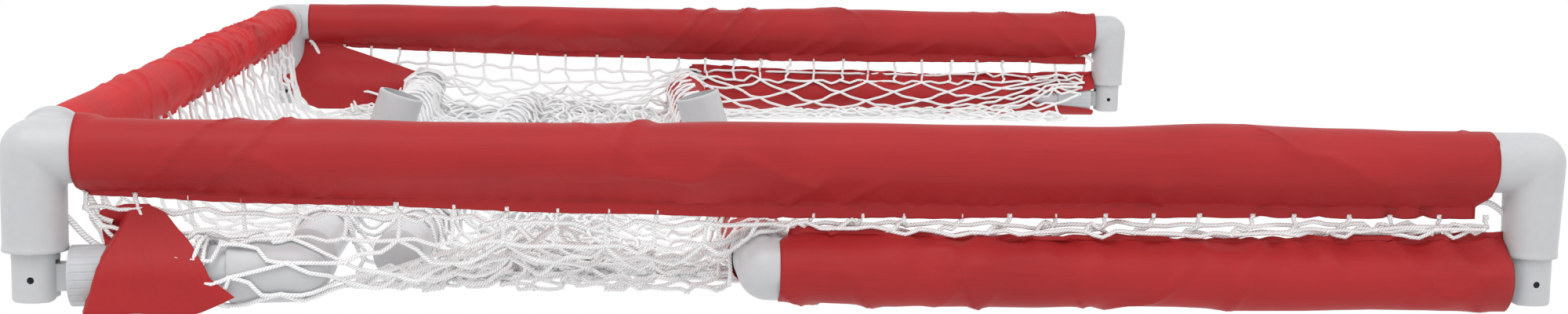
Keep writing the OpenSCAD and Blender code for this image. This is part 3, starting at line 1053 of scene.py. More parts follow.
@dataclass
class Sleeves:
    """Every fabric sleeve on the goal."""

    layout: Layout
    wardrobe: Wardrobe
    base_gap: float = 7 * MM
    pin_gap: float = 20 * MM

    def posts(self) -> None:
        """Sleeves on the two posts, with their hems hanging down."""
        lay = self.layout
        for side in (RIGHT, LEFT):
            foot_gap = PostHem.FOOT_GAP[side]
            length = (lay.x_foot - lay.x_head - PostHem.HEAD_GAP - foot_gap) / MM
            y = side * lay.y_side
            TubeSleeve(
                name=f"{SIDE_NAMES[side]}_post_cover",
                body="front_frame",
                start=Vector((lay.x_head + PostHem.HEAD_GAP, y, lay.z_post)),
                end=Vector((lay.x_foot - foot_gap, y, lay.z_post)),
                stands_for=(f"{SIDE_NAMES[side]}_post_sleeve",),
                wrinkles=Wrinkles(seed=11 + side, swell=1.8 * MM, crease=5.2 * MM, cover=0.55,
                                  crease_len=42 * MM, slant=0.9),
                radius=profile((0, 22.9), (150, 23.2), (500, 23.6), (790, 25.2), (length, 23.0)),
                seam=profile((0, 27), (200, 31), (500, 33), (length, 32)),
                hem=PostHem.DEPTH,
                hem_inset=8 * MM,
                rests_on=(f"{SIDE_NAMES[side]}_post_tube",),
            ).build(self.wardrobe)

    def crossbar(self) -> None:
        """Sleeve on the crossbar, drawn tight and full of slanting creases."""
        lay = self.layout
        low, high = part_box("crossbar_sleeve")
        length = (high.y - low.y) / MM
        TubeSleeve(
            name="crossbar_cover",
            body="front_frame",
            start=Vector((lay.x_head, low.y, lay.z_post)),
            end=Vector((lay.x_head, high.y, lay.z_post)),
            stands_for=("crossbar_sleeve",),
            wrinkles=Wrinkles(seed=31, swell=0.9 * MM, swell_len=60 * MM, crease=3.0 * MM,
                              crease_len=34 * MM, crease_run=80 * MM, cover=0.8, slant=1.3),
            radius=profile((0, 20.6), (60, 22), (length / 2, 22.4), (length - 60, 22), (length, 20.6)),
            seam=profile((0, 23), (60, 26), (length - 60, 26), (length, 23)),
            hem=profile((0, 26), (60, 31), (length - 60, 31), (length, 26)),
            clear_r=19.6 * MM,
            # The crossbar wears the satin with painted light: lighter colours for its lit top.
            finish=Finish.PAINTED_LIT_SATIN,
            rests_on=("crossbar_tube",),
        ).build(self.wardrobe)

    def base_sides(self) -> None:
        """Sleeves on the base's side arms, with their gathered crests up."""
        lay = self.layout
        for side in (RIGHT, LEFT):
            corner, pin = lay.base_corner(side), lay.foot_pin(side)
            ahead = (pin - corner).normalized()
            start, end = corner + ahead * self.base_gap, pin - ahead * self.pin_gap
            length = (end - start).length / MM
            TubeSleeve(
                name=f"{SIDE_NAMES[side]}_base_cover",
                body="base_frame",
                start=start,
                end=end,
                stands_for=(f"{SIDE_NAMES[side]}_base_sleeve",),
                wrinkles=Wrinkles(seed=51 + side, swell=1.8 * MM, crease=4.6 * MM, cover=0.65,
                                  crease_len=42 * MM, slant=0.5, pucker=2.2 * MM,
                                  pucker_len=33 * MM, pucker_reach=16 * MM),
                radius=profile((0, 23.3), (200, 23.6), (400, 24), (length, 23.2)),
                seam=profile((0, 26.5), (150, 25.5), (300, 25.5), (length - 60, 28), (length, 31)),
                hem=profile((0, 32), (60, 31), (150, 27.5), (240, 29.5), (320, 26.8), (430, 32),
                            (length - 40, 35), (length, 36)),
                seam_up=True,
                inner_cut=19 * MM,
                slit=0.0 if side == RIGHT else 85 * MM,
                clear_r=22.6 * MM,
                held="gathered",
                rests_on=(f"{SIDE_NAMES[side]}_base_tube",),
            ).build(self.wardrobe)

    def base_rear(self) -> None:
        """Sleeves on the two halves of the base's rear tube, loose enough to reach the floor."""
        for side in (RIGHT, LEFT):
            node = f"{SIDE_NAMES[side]}_base_rear_sleeve"
            low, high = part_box(node)
            x, z = self.layout.base_rear
            length = (high.y - low.y) / MM
            TubeSleeve(
                name=f"{SIDE_NAMES[side]}_base_rear_cover",
                body="base_frame",
                start=Vector((x, low.y, z)),
                end=Vector((x, high.y, z)),
                stands_for=(node,),
                wrinkles=Wrinkles(seed=71 + side, swell=1.6 * MM, crease=3 * MM, cover=0.8,
                                  crease_len=38 * MM, pucker=1.6 * MM),
                radius=profile((0, 22), (length / 2, 21.4), (length, 22)),
                seam=profile((0, 25), (length, 25)),
                hem=profile((0, 29.5), (length, 29.5)),
                clear_r=19.8 * MM,
                held="gathered",
                rests_on=(f"{SIDE_NAMES[side]}_base_rear_tube",),
            ).build(self.wardrobe)

    def build(self) -> None:
        """Makes every sleeve."""
        self.posts()
        self.crossbar()
        self.base_sides()
        self.base_rear()
        for side in (RIGHT, LEFT):
            ShelfCover(self.layout, side).build(self.wardrobe)


@dataclass
class ShelfCover:
    """A loose shelf sleeve: a tent of cloth over the arm, open below, with a ragged edge.

    OUTLINE gives height, start and end, in millimetres, the last two from the hinge pin.
    """

    layout: Layout
    side: int
    thickness: float = 0.5 * MM
    half_width: float = 26 * MM
    full_width_at: float = 24 * MM
    inner_short: float = 0.5
    fold_at: float = 49 * MM
    fold_depth: float = 15 * MM
    billow: float = 3.2 * MM
    crumple: float = 3 * MM
    ragged: tuple[float, float] = (2.2 * MM, 2.4 * MM)
    edge_rise: float = 1.2 * MM
    lowest: float = 0.8 * MM
    columns: int = 60
    rows: int = 120

    FOLD_CELLS = (26 * MM, 80 * MM, 120 * MM)
    CRUMPLE_CELLS = (55 * MM, 40 * MM)
    TEAR_CELLS = (12 * MM, 60 * MM)
    EDGE_CELL = 18 * MM
    FOLD_EDGE, FOLD_FADE, FOLD_LEVEL = 6 * MM, 20 * MM, 30 * MM
    TEAR_PAST, TEAR_FADE = 8 * MM, 20 * MM

    OUTLINE = {
        RIGHT: ((0, 34, 112), (12, 36, 140), (24, 42, 126), (35, 50, 117), (45, 48, 109),
                (54, 44, 101), (62, 41, 94), (68, 42, 88), (73, 60, 76)),
        LEFT: ((0, 40, 120), (6, 28, 130), (24, 6, 162), (34, 0, 171), (44, -8, 178),
               (54, -12, 150), (66, -6, 111), (78, 4, 72), (88, 16, 40)),
    }

    def grid(self) -> np.ndarray:
        """Lays out the tent in the goal's frame.

        Returns:
            Points as (around, along, 3).
        """
        heights, starts, ends = np.array(self.OUTLINE[self.side]).T * MM
        top = heights[-1]
        t = np.linspace(-1, 1, self.rows)
        height = top * (1 - np.abs(t) ** 1.25)
        first, last = np.interp(height, heights, starts), np.interp(height, heights, ends)
        inner = t if self.side == RIGHT else -t
        last = last - (last - first) * ease(inner / 0.2) * self.inner_short
        s = np.linspace(0, 1, self.columns)
        along = first[:, None] + (last - first)[:, None] * s[None]
        z = np.broadcast_to(height[:, None], along.shape).copy()
        lean = self.half_width * ease((top - height) / (top - self.full_width_at))
        y = np.sign(t)[:, None] * lean[:, None] + 0 * along
        folds, soft = Ripple(90 + self.side), Ripple(95 + self.side)
        run, lean_len, tall = self.FOLD_CELLS
        billow = folds.swing(along / run + z / lean_len, z / tall) * self.billow
        billow = billow * ease((top - z) / top)
        billow += soft.swing(along / self.CRUMPLE_CELLS[0], z / self.CRUMPLE_CELLS[1]) * self.crumple
        y = y + np.sign(t)[:, None] * np.abs(billow) * 0.9 + billow * 0.2
        if self.side == RIGHT:
            turned = ease((self.fold_at - along + 0.4 * (z - self.FOLD_LEVEL)) / self.FOLD_EDGE)
            fade = ease((top - z) / self.FOLD_FADE)
            y = y + (t[:, None] < 0) * turned * self.fold_depth * fade
        near_fold = ease((self.fold_at + self.TEAR_PAST - along) / self.TEAR_FADE)
        tear = self.ragged[0] + self.ragged[1] * near_fold
        along = along + tear * soft.swing(z / self.TEAR_CELLS[0], along / self.TEAR_CELLS[1])
        rise = self.edge_rise * folds.at(along / self.EDGE_CELL, t[:, None] * 3)
        z = np.maximum(z + rise, self.lowest)
        centre = self.side * self.layout.y_side
        y = centre - self.side * y if self.side == LEFT else centre + y
        return np.stack([self.layout.x_head + along, y, z], -1)

    def build(self, wardrobe: Wardrobe) -> None:
        """Args:
            wardrobe: Where the materials come from.
        """
        name = SIDE_NAMES[self.side]
        grid = self.grid()
        obj = cloth_piece(f"{name}_shelf_cover", grid, False, self.thickness)
        wardrobe.deliver(obj, Finish.SATIN, "sleeve_fabric", [f"{name}_shelf_sleeve"], "top_shelf")
        log.info("built %s", obj.name)


# ---------------------------------------------------------------- net

@dataclass(frozen=True)
class Rod:
    """A round obstacle that the net lies on."""

    a: Vector
    b: Vector
    radius: float

    def push(self, p: np.ndarray, loose: np.ndarray, skin: float) -> None:
        """Moves loose points that are inside the rod out to its surface.

        Args:
            p: Points, changed in place.
            loose: Which points may move.
            skin: Clearance over the rod's radius.
        """
        a, d = np.array(self.a), np.array(self.b - self.a)
        t = np.clip(((p - a) @ d) / (d @ d), 0, 1)
        out = p - (a + t[:, None] * d)
        far = np.linalg.norm(out, axis=1)
        reach = self.radius + skin
        inside = (far < reach) & loose
        p[inside] += out[inside] * ((reach - far[inside]) / np.maximum(far[inside], 1e-6))[:, None]


class Part(Enum):
    """The parts of the net, by where their cords lie."""

    OVER_SHELF = "over_shelf"
    HEAP = "heap"
    OVER_BASE = "over_base"
    RIGHT_SIDE = "right_side"
    LEFT_SIDE = "left_side"


class CordWeb:
    """Knots joined by bars of cord, which settle under their own weight."""

    STRETCHES = 3
    CURL = (0.80, 0.99)
    BEND_FIRMNESS = 0.35
    STEP = 1 / 90
    GRAVITY = 5.0
    KEEP_SPEED = 0.93
    TOP_SPEED = 1.5
    GRIP = 0.4
    SKIN = 1.5 * MM
    PILE_UP, PILE_DOWN = 0.32, 0.22
    GRID_FROM, GRID_ROW = 2.0, 4096

    def __init__(self) -> None:
        """Starts with no knots."""
        self.places: list[tuple[float, float, float]] = []
        self.held: list[bool] = []
        self.bars: list[tuple[int, int, float, Part]] = []

    def knot(self, place: Sequence[float], held: bool = False) -> int:
        """Adds a knot.

        Args:
            place: Where it starts.
            held: Whether it stays there.

        Returns:
            Its number.
        """
        self.places.append(tuple(float(c) for c in place))
        self.held.append(held)
        return len(self.places) - 1

    def bar(self, a: int, b: int, length: float, part: Part) -> None:
        """Joins two knots by a bar of cord.

        Args:
            a: Number of the first knot.
            b: Number of the second knot.
            length: Length of the cord.
            part: The part of the net that it belongs to.
        """
        self.bars.append((a, b, length, part))

    def particles(self, seed: int, wander: float) -> None:
        """Lays out the points along every bar.

        Args:
            seed: Seed of the bars' uneven lie.
            wander: How far a bar's own points start from its straight line.
        """
        rng = np.random.RandomState(seed)
        knots = np.array(self.places)
        ends = np.array([(a, b) for a, b, _, _ in self.bars])
        lengths = np.array([bar[2] for bar in self.bars])
        inner = self.STRETCHES - 1
        share = (np.arange(1, self.STRETCHES) / self.STRETCHES)[None, :, None]
        middles = knots[ends[:, :1]] * (1 - share) + knots[ends[:, 1:]] * share
        middles = middles + rng.normal(0, wander, middles.shape)
        self.p = np.concatenate([knots, middles.reshape(-1, 3)])
        numbers = len(knots) + np.arange(len(ends) * inner).reshape(-1, inner)
        self.chains = np.concatenate([ends[:, :1], numbers, ends[:, 1:]], 1)
        self.loose = np.ones(len(self.p), bool)
        self.loose[:len(knots)] = ~np.array(self.held)
        step = lengths / self.STRETCHES
        pairs, rest, firm = [], [], []
        curl = rng.uniform(*self.CURL, (len(ends), inner))
        for k in range(self.STRETCHES):
            pairs.append(self.chains[:, k:k + 2])
            rest.append(step)
            firm.append(np.ones(len(ends)))
        for k in range(inner):
            pairs.append(self.chains[:, [k, k + 2]])
            rest.append(2 * step * curl[:, k])
            firm.append(np.full(len(ends), self.BEND_FIRMNESS))
        self.batches = self.colour(np.concatenate(pairs), np.concatenate(rest), np.concatenate(firm))

    def colour(self, pairs: np.ndarray, rest: np.ndarray, firm: np.ndarray) -> list[tuple]:
        """Sorts the links into batches in which no point occurs twice.

        Args:
            pairs: Point numbers of each link.
            rest: Length of each link.
            firm: How firmly each link keeps its length, up to 1.

        Returns:
            The batches.
        """
        used: list[set[int]] = [set() for _ in self.p]
        colours = np.zeros(len(pairs), int)
        for n, (a, b) in enumerate(pairs):
            c = 0
            while c in used[a] or c in used[b]:
                c += 1
            used[a].add(c)
            used[b].add(c)
            colours[n] = c
        batches = []
        for c in range(colours.max() + 1):
            pick = colours == c
            i, j = pairs[pick, 0], pairs[pick, 1]
            wi, wj = self.loose[i].astype(float), self.loose[j].astype(float)
            keep = wi + wj > 0
            total = np.maximum(wi + wj, 1)
            batches.append((i[keep], j[keep], rest[pick][keep], firm[pick][keep],
                            (wi / total)[keep, None], (wj / total)[keep, None]))
        return batches

    def pile(self, rng: np.random.RandomState, cell: float, gap: float) -> None:
        """Keeps cords that lie over each other from sinking into one another.

        Args:
            rng: Where the grid's random shift comes from.
            cell: Side of the grid's cells.
            gap: Height that one cord takes in a cell.
        """
        shift = rng.uniform(0, cell, 2)
        place = np.floor((self.p[:, :2] + self.GRID_FROM + shift) / cell).astype(int)
        key = place[:, 0] * self.GRID_ROW + place[:, 1]
        order = np.lexsort((self.p[:, 2], key))
        same = key[order][1:] == key[order][:-1]
        z = self.p[order, 2]
        near = np.maximum(gap - (z[1:] - z[:-1]), 0) * same
        move = np.zeros(len(z))
        move[1:] += self.PILE_UP * near
        move[:-1] -= self.PILE_DOWN * near
        move *= self.loose[order]
        self.p[order, 2] += move

    def settle(self, rods: Sequence[Rod], steps: int, turns: int = 8, gap: float = 7 * MM,
               cell: float = 13 * MM, floor: float = 1.6 * MM, seed: int = 5) -> None:
        """Lets the web fall and come to rest.

        Args:
            rods: Obstacles.
            steps: Time steps.
            turns: Passes over the links in each step.
            gap: Height that one cord takes on another.
            cell: Side of the cells in which cords are kept apart.
            floor: Lowest height of a cord's middle.
            seed: Seed of the small shifts.
        """
        rng = np.random.RandomState(seed)
        dt = self.STEP
        speed = np.zeros_like(self.p)
        for _ in range(steps):
            before = self.p.copy()
            speed[:, 2] -= self.GRAVITY * dt
            speed[~self.loose] = 0
            self.p += speed * dt
            for _ in range(turns):
                for i, j, rest, firm, wi, wj in self.batches:
                    d = self.p[j] - self.p[i]
                    far = np.sqrt((d * d).sum(1))
                    pull = d * (firm * (far - rest) / np.maximum(far, 1e-7))[:, None]
                    self.p[i] += pull * wi
                    self.p[j] -= pull * wj
            self.pile(rng, cell, gap)
            for rod in rods:
                rod.push(self.p, self.loose, self.SKIN)
            low = (self.p[:, 2] < floor) & self.loose
            self.p[low, 2] = floor
            self.p[low, :2] = before[low, :2] + self.GRIP * (self.p[low, :2] - before[low, :2])
            speed = (self.p - before) / dt * self.KEEP_SPEED
            fast = np.linalg.norm(speed, axis=1)
            speed *= np.minimum(1, self.TOP_SPEED / np.maximum(fast, 1e-6))[:, None]


@dataclass
class CordMesher:
    """Turns settled cords into round mesh cord with knots."""

    radius: float = 1.6 * MM
    knot_radius: float = 2.8 * MM
    sides: int = 6
    rings_per_stretch: int = 2
    lowest: float = 0.2 * MM

    def curves(self, chains: np.ndarray) -> np.ndarray:
        """Smooths chains of points.

        Args:
            chains: Points as (chain, point, 3).

        Returns:
            Points along smooth curves through them.
        """
        first = 2 * chains[:, :1] - chains[:, 1:2]
        last = 2 * chains[:, -1:] - chains[:, -2:-1]
        p = np.concatenate([first, chains, last], 1)
        out = []
        for k in range(chains.shape[1] - 1):
            a, b, c, d = (p[:, k + n] for n in range(4))
            for t in np.arange(self.rings_per_stretch) / self.rings_per_stretch:
                out.append(0.5 * (2 * b + (c - a) * t + (2 * a - 5 * b + 4 * c - d) * t * t
                                  + (3 * b - a - 3 * c + d) * t**3))
        out.append(chains[:, -1])
        return np.stack(out, 1)

    def tubes(self, lines: np.ndarray) -> tuple[np.ndarray, np.ndarray, np.ndarray]:
        """Sweeps a ring along each line.

        Args:
            lines: Points as (line, point, 3).

        Returns:
            Vertices, faces and UVs.
        """
        count, rings = lines.shape[:2]
        way = np.gradient(lines, axis=1)
        way /= np.maximum(np.linalg.norm(way, axis=2, keepdims=True), 1e-9)
        chord = np.abs(lines[:, -1] - lines[:, 0])
        helper = np.eye(3)[np.argmin(chord, axis=1)][:, None]
        u = np.cross(way, np.broadcast_to(helper, way.shape))
        u /= np.maximum(np.linalg.norm(u, axis=2, keepdims=True), 1e-9)
        v = np.cross(way, u)
        angle = np.arange(self.sides) * math.tau / self.sides
        ring = (np.cos(angle)[None, None, :, None] * u[:, :, None]
                + np.sin(angle)[None, None, :, None] * v[:, :, None])
        points = lines[:, :, None] + self.radius * ring
        base = (np.arange(count) * rings * self.sides)[:, None, None]
        r, s = np.arange(rings - 1)[None, :, None], np.arange(self.sides)[None, None, :]
        n = (s + 1) % self.sides
        faces = np.stack([base + r * self.sides + s, base + r * self.sides + n,
                          base + (r + 1) * self.sides + n, base + (r + 1) * self.sides + s], -1)
        run = np.zeros((count, rings))
        run[:, 1:] = np.cumsum(np.linalg.norm(np.diff(lines, axis=1), axis=2), 1)
        shape = (count, rings - 1, self.sides)
        left = np.broadcast_to(run[:, :-1, None], shape)
        right = np.broadcast_to(run[:, 1:, None], shape)
        low = np.broadcast_to(s / self.sides, shape)
        high = low + 1 / self.sides
        uv = np.stack([np.stack(pair, -1) for pair in
                       ((left, low), (left, high), (right, high), (right, low))], -2)
        return points.reshape(-1, 3), faces.reshape(-1, 4), uv.reshape(-1, 2)

    def knots(self, centres: np.ndarray, seed: int) -> tuple[np.ndarray, np.ndarray, np.ndarray]:
        """Makes a small tied lump at each centre.

        Args:
            centres: Where the knots are.
            seed: Seed of their turns and sizes.

        Returns:
            Vertices, faces and UVs.
        """
        rng = np.random.RandomState(seed)
        corner = np.array([(x, y, z) for x in (-1, 1) for y in (-1, 1) for z in (-1, 1)], float)
        quads = np.array([(0, 1, 3, 2), (4, 6, 7, 5), (0, 4, 5, 1), (2, 3, 7, 6), (0, 2, 6, 4),
                          (1, 5, 7, 3)])
        size = self.knot_radius * rng.uniform(0.85, 1.1, (len(centres), 1, 3)) / math.sqrt(3)
        turn = rng.uniform(0, math.pi, len(centres))
        c, s = np.cos(turn), np.sin(turn)
        shape = corner[None] * size
        x = shape[..., 0] * c[:, None] - shape[..., 1] * s[:, None]
        y = shape[..., 0] * s[:, None] + shape[..., 1] * c[:, None]
        points = centres[:, None] + np.stack([x, y, shape[..., 2]], -1)
        faces = quads[None] + (np.arange(len(centres)) * 8)[:, None, None]
        uv = np.tile(np.array([(0, 0), (0, 0.2), (0.002, 0.2), (0.002, 0)]), (len(centres) * 6, 1))
        return points.reshape(-1, 3), faces.reshape(-1, 4), uv

    def piece(self, name: str, chains: np.ndarray, centres: np.ndarray,
              seed: int = 0) -> bpy.types.Object:
        """Makes one piece of net.

        Args:
            name: Name of the piece.
            chains: Points along its bars, as (bar, point, 3).
            centres: Where its knots are.
            seed: Seed of the knots' sizes.

        Returns:
            The piece.
        """
        p, f, uv = self.tubes(self.curves(chains))
        if len(centres):
            kp, kf, kuv = self.knots(centres, seed)
            p, f, uv = (np.concatenate([p, kp]), np.concatenate([f, kf + len(p)]),
                        np.concatenate([uv, kuv]))
        p[:, 2] = np.maximum(p[:, 2], self.lowest)
        return mesh_piece(name, p, f, "cord_run", uv)


def neighbours(n: int, odd: int, count: int) -> list[int]:
    """Knots of the next row that a knot of a diamond mesh is tied to.

    Args:
        n: The knot's place in its row.
        odd: 1 if the longer row is the next one, otherwise 0.
        count: Knots in the next row.

    Returns:
        Their places in that row.
    """
    return [k for k in (n + odd - 1, n + odd) if 0 <= k < count]


@dataclass
class SidePanel:
    """A side panel of the net, which hangs from a rope laced to the post's hem.

    Between the shelf and the base it is bunched inboard. The right panel also lies on the crest of
    the base's sleeve and hangs outside the shelf's elbow.
    """

    layout: Layout
    side: int
    seed: int = 10
    pitch: float = 36 * MM
    rows: int = 26
    plain_rows: int = 15
    draped_rows: int = 9
    caught_rows: tuple[int, ...] = (3, 6, 9)
    first_lace: float = 34 * MM
    rope_short: float = 30 * MM
    rope_in: float = 1.5 * MM
    lace_up: float = 1.5 * MM
    lace_lean: float = 3 * MM
    heap_inboard: float = 150 * MM
    bunch_slack: float = 7 * MM
    foot_reach: float = 70 * MM
    foot_rows: int = 7
    crest_rows: int = 4
    elbow_r: float = 24.6 * MM
    elbow_rows: int = 6
    elbow_behind: float = 52 * MM
    elbow_ahead: float = 26 * MM
    elbow_fade: tuple[float, float] = (12 * MM, 16 * MM)
    elbow_least: float = 6 * MM
    bunch_fade: tuple[float, float] = (50 * MM, 60 * MM)
    row_in_mm: int = 6
    row_drop: float = 5 * MM
    foot_row_drop: float = 3 * MM
    foot_row_back: float = 2 * MM
    foot_clear: float = 12 * MM
    lowest: float = 3 * MM
    line_back: float = 14 * MM
    line_drop: float = 9 * MM
    line_in: float = 4 * MM
    crest_out: float = 4.5 * MM
    line_bar: float = 17.5 * MM
    give: float = 1.015

    ROPE_DROP = {RIGHT: 7 * MM, LEFT: 17 * MM}
    CREST = ((0, 61), (150, 56), (240, 58), (320, 55), (430, 60), (560, 61.5))
    JOLT = 2.5 * MM
    DRAPED_JOLT, HEAPED_JOLT = 5 * MM, 12 * MM

    def __post_init__(self) -> None:
        """Works out what depends on the side."""
        self.part = Part.RIGHT_SIDE if self.side == RIGHT else Part.LEFT_SIDE
        self.y = self.side * self.layout.y_side
        self.drop = self.ROPE_DROP[self.side]
        self.rng = np.random.RandomState(self.seed + self.side)

    def crest_z(self, x: float) -> float:
        """Height of a cord that lies on the gathered crest of the right base sleeve."""
        along = (x - self.layout.base_rear[0]) / MM
        return float(np.interp(along, *zip(*self.CREST))) * MM

    def over_elbow(self, x: float) -> float:
        """How far the panel hangs outside the shelf's elbow at a place.

        Args:
            x: Place along the post.

        Returns:
            A share from 0 to 1.
        """
        if self.side == LEFT:
            return 0.0
        rear = self.layout.shelf_rear[0]
        fade_in, fade_out = self.elbow_fade
        return float(ease(np.array((x - rear + self.elbow_behind) / fade_in))
                     * ease(np.array((rear + self.elbow_ahead - x) / fade_out)))

    def bunched(self, x: float) -> float:
        """How far the panel is bunched inboard at a place.

        Args:
            x: Place along the post.

        Returns:
            A share from 0 to 1.
        """
        lay = self.layout
        first = lay.x_head + 60 * MM if self.side == LEFT else lay.shelf_rear[0] - 5 * MM
        last = lay.base_rear[0] + 10 * MM
        fade_in, fade_out = self.bunch_fade
        return float(ease(np.array((x - first) / fade_in)) * ease(np.array((last - x) / fade_out)))

    def string(self, web: CordWeb, knots: Sequence[int]) -> None:
        """Joins knots in a line along the post.

        Args:
            web: The web that holds them.
            knots: Their numbers, in order.
        """
        for a, b in zip(knots, knots[1:]):
            web.bar(a, b, self.pitch * 1.01, self.part)

    def rope(self, web: CordWeb) -> list[int]:
        """Knots the rope and laces it to the hem.

        Args:
            web: The web that it is added to.

        Returns:
            The rope's knots.
        """
        lay = self.layout
        knots = []
        for n in range(int((lay.x_foot - lay.x_head - self.rope_short) / self.pitch)):
            x = lay.x_head + self.first_lace + n * self.pitch
            sag = self.rng.uniform(-1.5, 1.5) * MM
            hem = PostHem.bottom(lay, x)
            spot = (x, self.y - self.side * self.rope_in, hem - self.drop + sag)
            knots.append(web.knot(spot, n % 2 == 0))
            top = web.knot((x + self.rng.uniform(-3, 5) * MM, self.y, hem + self.lace_up), True)
            web.bar(top, knots[-1], math.hypot(self.drop + self.lace_up, self.lace_lean), self.part)
        self.string(web, knots)
        return knots

    def under_rope(self, web: CordWeb, rope: Sequence[int]) -> list[int]:
        """Knots a line close under the rope, which lies on the crest where there is one.

        Args:
            web: The web that it is added to.
            rope: The rope's knots.

        Returns:
            The line's knots.
        """
        knots = []
        for a in rope:
            x, y, z = web.places[a]
            on_crest = self.side == RIGHT and x > self.layout.base_rear[0] + 25 * MM
            x -= self.line_back
            spot = (x, y - self.side * self.line_in, z - self.line_drop)
            if on_crest:
                spot = (x, y + self.side * self.crest_out, self.crest_z(x))
            knots.append(web.knot(spot, on_crest))
            web.bar(a, knots[-1], self.line_bar, self.part)
        self.string(web, knots)
        return knots

    def place(self, row: int, x: float) -> tuple[tuple[float, float, float], bool]:
        """Where a knot starts.

        Args:
            row: Row below the rope.
            x: Place along the post.

        Returns:
            The place, and whether the knot is tied there.
        """
        lay, rng = self.layout, self.rng
        bunch = self.bunched(x)
        top = PostHem.bottom(lay, x) - self.drop
        if row <= self.draped_rows:
            share = row / self.draped_rows
            inboard = 2 * MM + share * self.heap_inboard
            height = top * (1 - 0.95 * share**1.5)
            loose = self.DRAPED_JOLT
        else:
            inboard = self.heap_inboard * rng.uniform(0.62, 1.3)
            height = rng.uniform(5, 60) * MM
            loose = self.HEAPED_JOLT
        jolt = rng.normal(0, self.JOLT + loose * bunch, 3)
        tied = x > lay.x_foot - self.foot_reach and row < self.foot_rows
        if tied:
            jolt *= 0.4
        plain_in = self.row_in_mm * MM + row * self.row_in_mm * MM
        plain_z = top - (self.foot_row_drop if tied else self.row_drop) * row
        y_in = plain_in + (inboard - plain_in) * bunch
        z = plain_z + (height - plain_z) * bunch
        if self.side == RIGHT and tied and row < self.crest_rows:
            y_in = -(3 + 1.2 * row) * MM
            z = self.crest_z(x) + (1.5 - row) * MM
        if self.over_elbow(x) > 0.5:
            z = (58 - 11 * row) * MM
            up = z - lay.shelf_rear[1]
            y_in = -math.sqrt(max(self.elbow_r**2 - up**2, self.elbow_least**2))
            jolt *= 0.3
            tied = row < self.elbow_rows
        x_out = min(x, lay.x_foot - self.foot_clear) - self.foot_row_back * row * tied
        spot = (x_out + jolt[0], self.side * (lay.y_side - y_in) + jolt[1],
                max(z + jolt[2], self.lowest))
        return spot, tied

    def build(self, web: CordWeb) -> None:
        """Knots the panel.

        Args:
            web: The web that it is added to.
        """
        above = self.under_rope(web, self.rope(web))[::2]
        for row in range(1, self.rows):
            odd = row % 2
            line = []
            for n in range(len(above) + 1 - 2 * odd):
                x = self.layout.x_head + self.first_lace + (2 * n + odd) * self.pitch
                spot, tied = self.place(row, x)
                caught = row in self.caught_rows and n % 2 == 0 and self.bunched(x) > 0.9
                line.append(web.knot(spot, tied or caught))
            for n, a in enumerate(line):
                x = web.places[a][0]
                bunch, over = self.bunched(x), self.over_elbow(x)
                if row > self.plain_rows and bunch < 0.3 or row > 5 and over > 0.4:
                    continue
                length = self.pitch * self.give + self.bunch_slack * max(bunch, 0.4 * over)
                for k in neighbours(n, odd, len(above)):
                    web.bar(above[k], a, length, self.part)
            above = line


@dataclass
class BackPanel:
    """The long back panel, which lies in a heap between the crossbar and the base's rear tube."""

    layout: Layout
    seed: int = 3
    bar: float = 38 * MM
    columns: int = 27
    rows: int = 52
    shelf_rows: int = 9
    base_rows: int = 9
    tee_gap: float = 50 * MM
    heap_jolt: float = 9 * MM
    edge_jolt: float = 1.5 * MM

    def path(self) -> Callable[[float], tuple[float, ...]]:
        """Where each row starts.

        Returns:
            A function from the row's share of the panel to its x, z and width.
        """
        lay = self.layout
        sx, sz = lay.shelf_rear
        bx, bz = lay.base_rear
        table = np.array((
            (0.00, lay.x_head + 14 * MM, lay.z_post - 20 * MM, 1.20),
            (0.09, sx - 60 * MM, sz + 46 * MM, 1.34),
            (0.14, sx, sz + 28 * MM, 1.40),
            (0.18, sx + 32 * MM, sz + 10 * MM, 1.36),
            (0.26, sx + 90 * MM, 62 * MM, 1.22),
            (0.38, bx - 50 * MM, 70 * MM, 1.16),
            (0.52, sx + 45 * MM, 92 * MM, 1.20),
            (0.66, bx - 60 * MM, 108 * MM, 1.18),
            (0.80, sx + 120 * MM, 118 * MM, 1.22),
            (0.90, bx - 70 * MM, 90 * MM, 1.24),
            (0.96, bx - 22 * MM, bz + 40 * MM, 1.26),
            (1.00, bx + 3 * MM, bz + 25 * MM, 1.28),
        ))

        def at(share: float) -> tuple[float, ...]:
            """The x, z and width at a share of the panel."""
            return tuple(float(np.interp(share, table[:, 0], table[:, n])) for n in (1, 2, 3))

        return at

    def part(self, row: int) -> Part:
        """The part of the net that a row's bars belong to.

        Args:
            row: Number of the row.

        Returns:
            The part.
        """
        if row < self.shelf_rows:
            return Part.OVER_SHELF
        return Part.HEAP if row < self.rows - 1 - self.base_rows else Part.OVER_BASE

    def build(self, web: CordWeb) -> None:
        """Knots the panel.

        Args:
            web: The web that it is added to.
        """
        rng = np.random.RandomState(self.seed)
        path, last = self.path(), self.rows - 1
        grid: list[list[int]] = []
        for row in range(self.rows):
            x, z, width = path(row / last)
            spread = self.heap_jolt if self.shelf_rows <= row < last - 2 else self.edge_jolt
            line = []
            for column in range(self.columns - row % 2):
                y = ((column + 0.5 * (row % 2)) / (self.columns - 1) - 0.5) * width
                jolt = rng.normal(0, spread, 3)
                tied = row == 0 or (row == last and abs(y) > self.tee_gap)
                line.append(web.knot((x + jolt[0], y + jolt[1], z + jolt[2]), tied))
            grid.append(line)
        for row in range(last):
            for n, a in enumerate(grid[row]):
                for k in neighbours(n, row % 2, len(grid[row + 1])):
                    web.bar(a, grid[row + 1][k], self.bar, self.part(row))


@dataclass(frozen=True)
class Bend:
    """A body and a span listed for a piece of net that crosses a joint; the piece is not bent towards it."""

    body: str
    start: tuple[float, float, float]
    end: tuple[float, float, float]


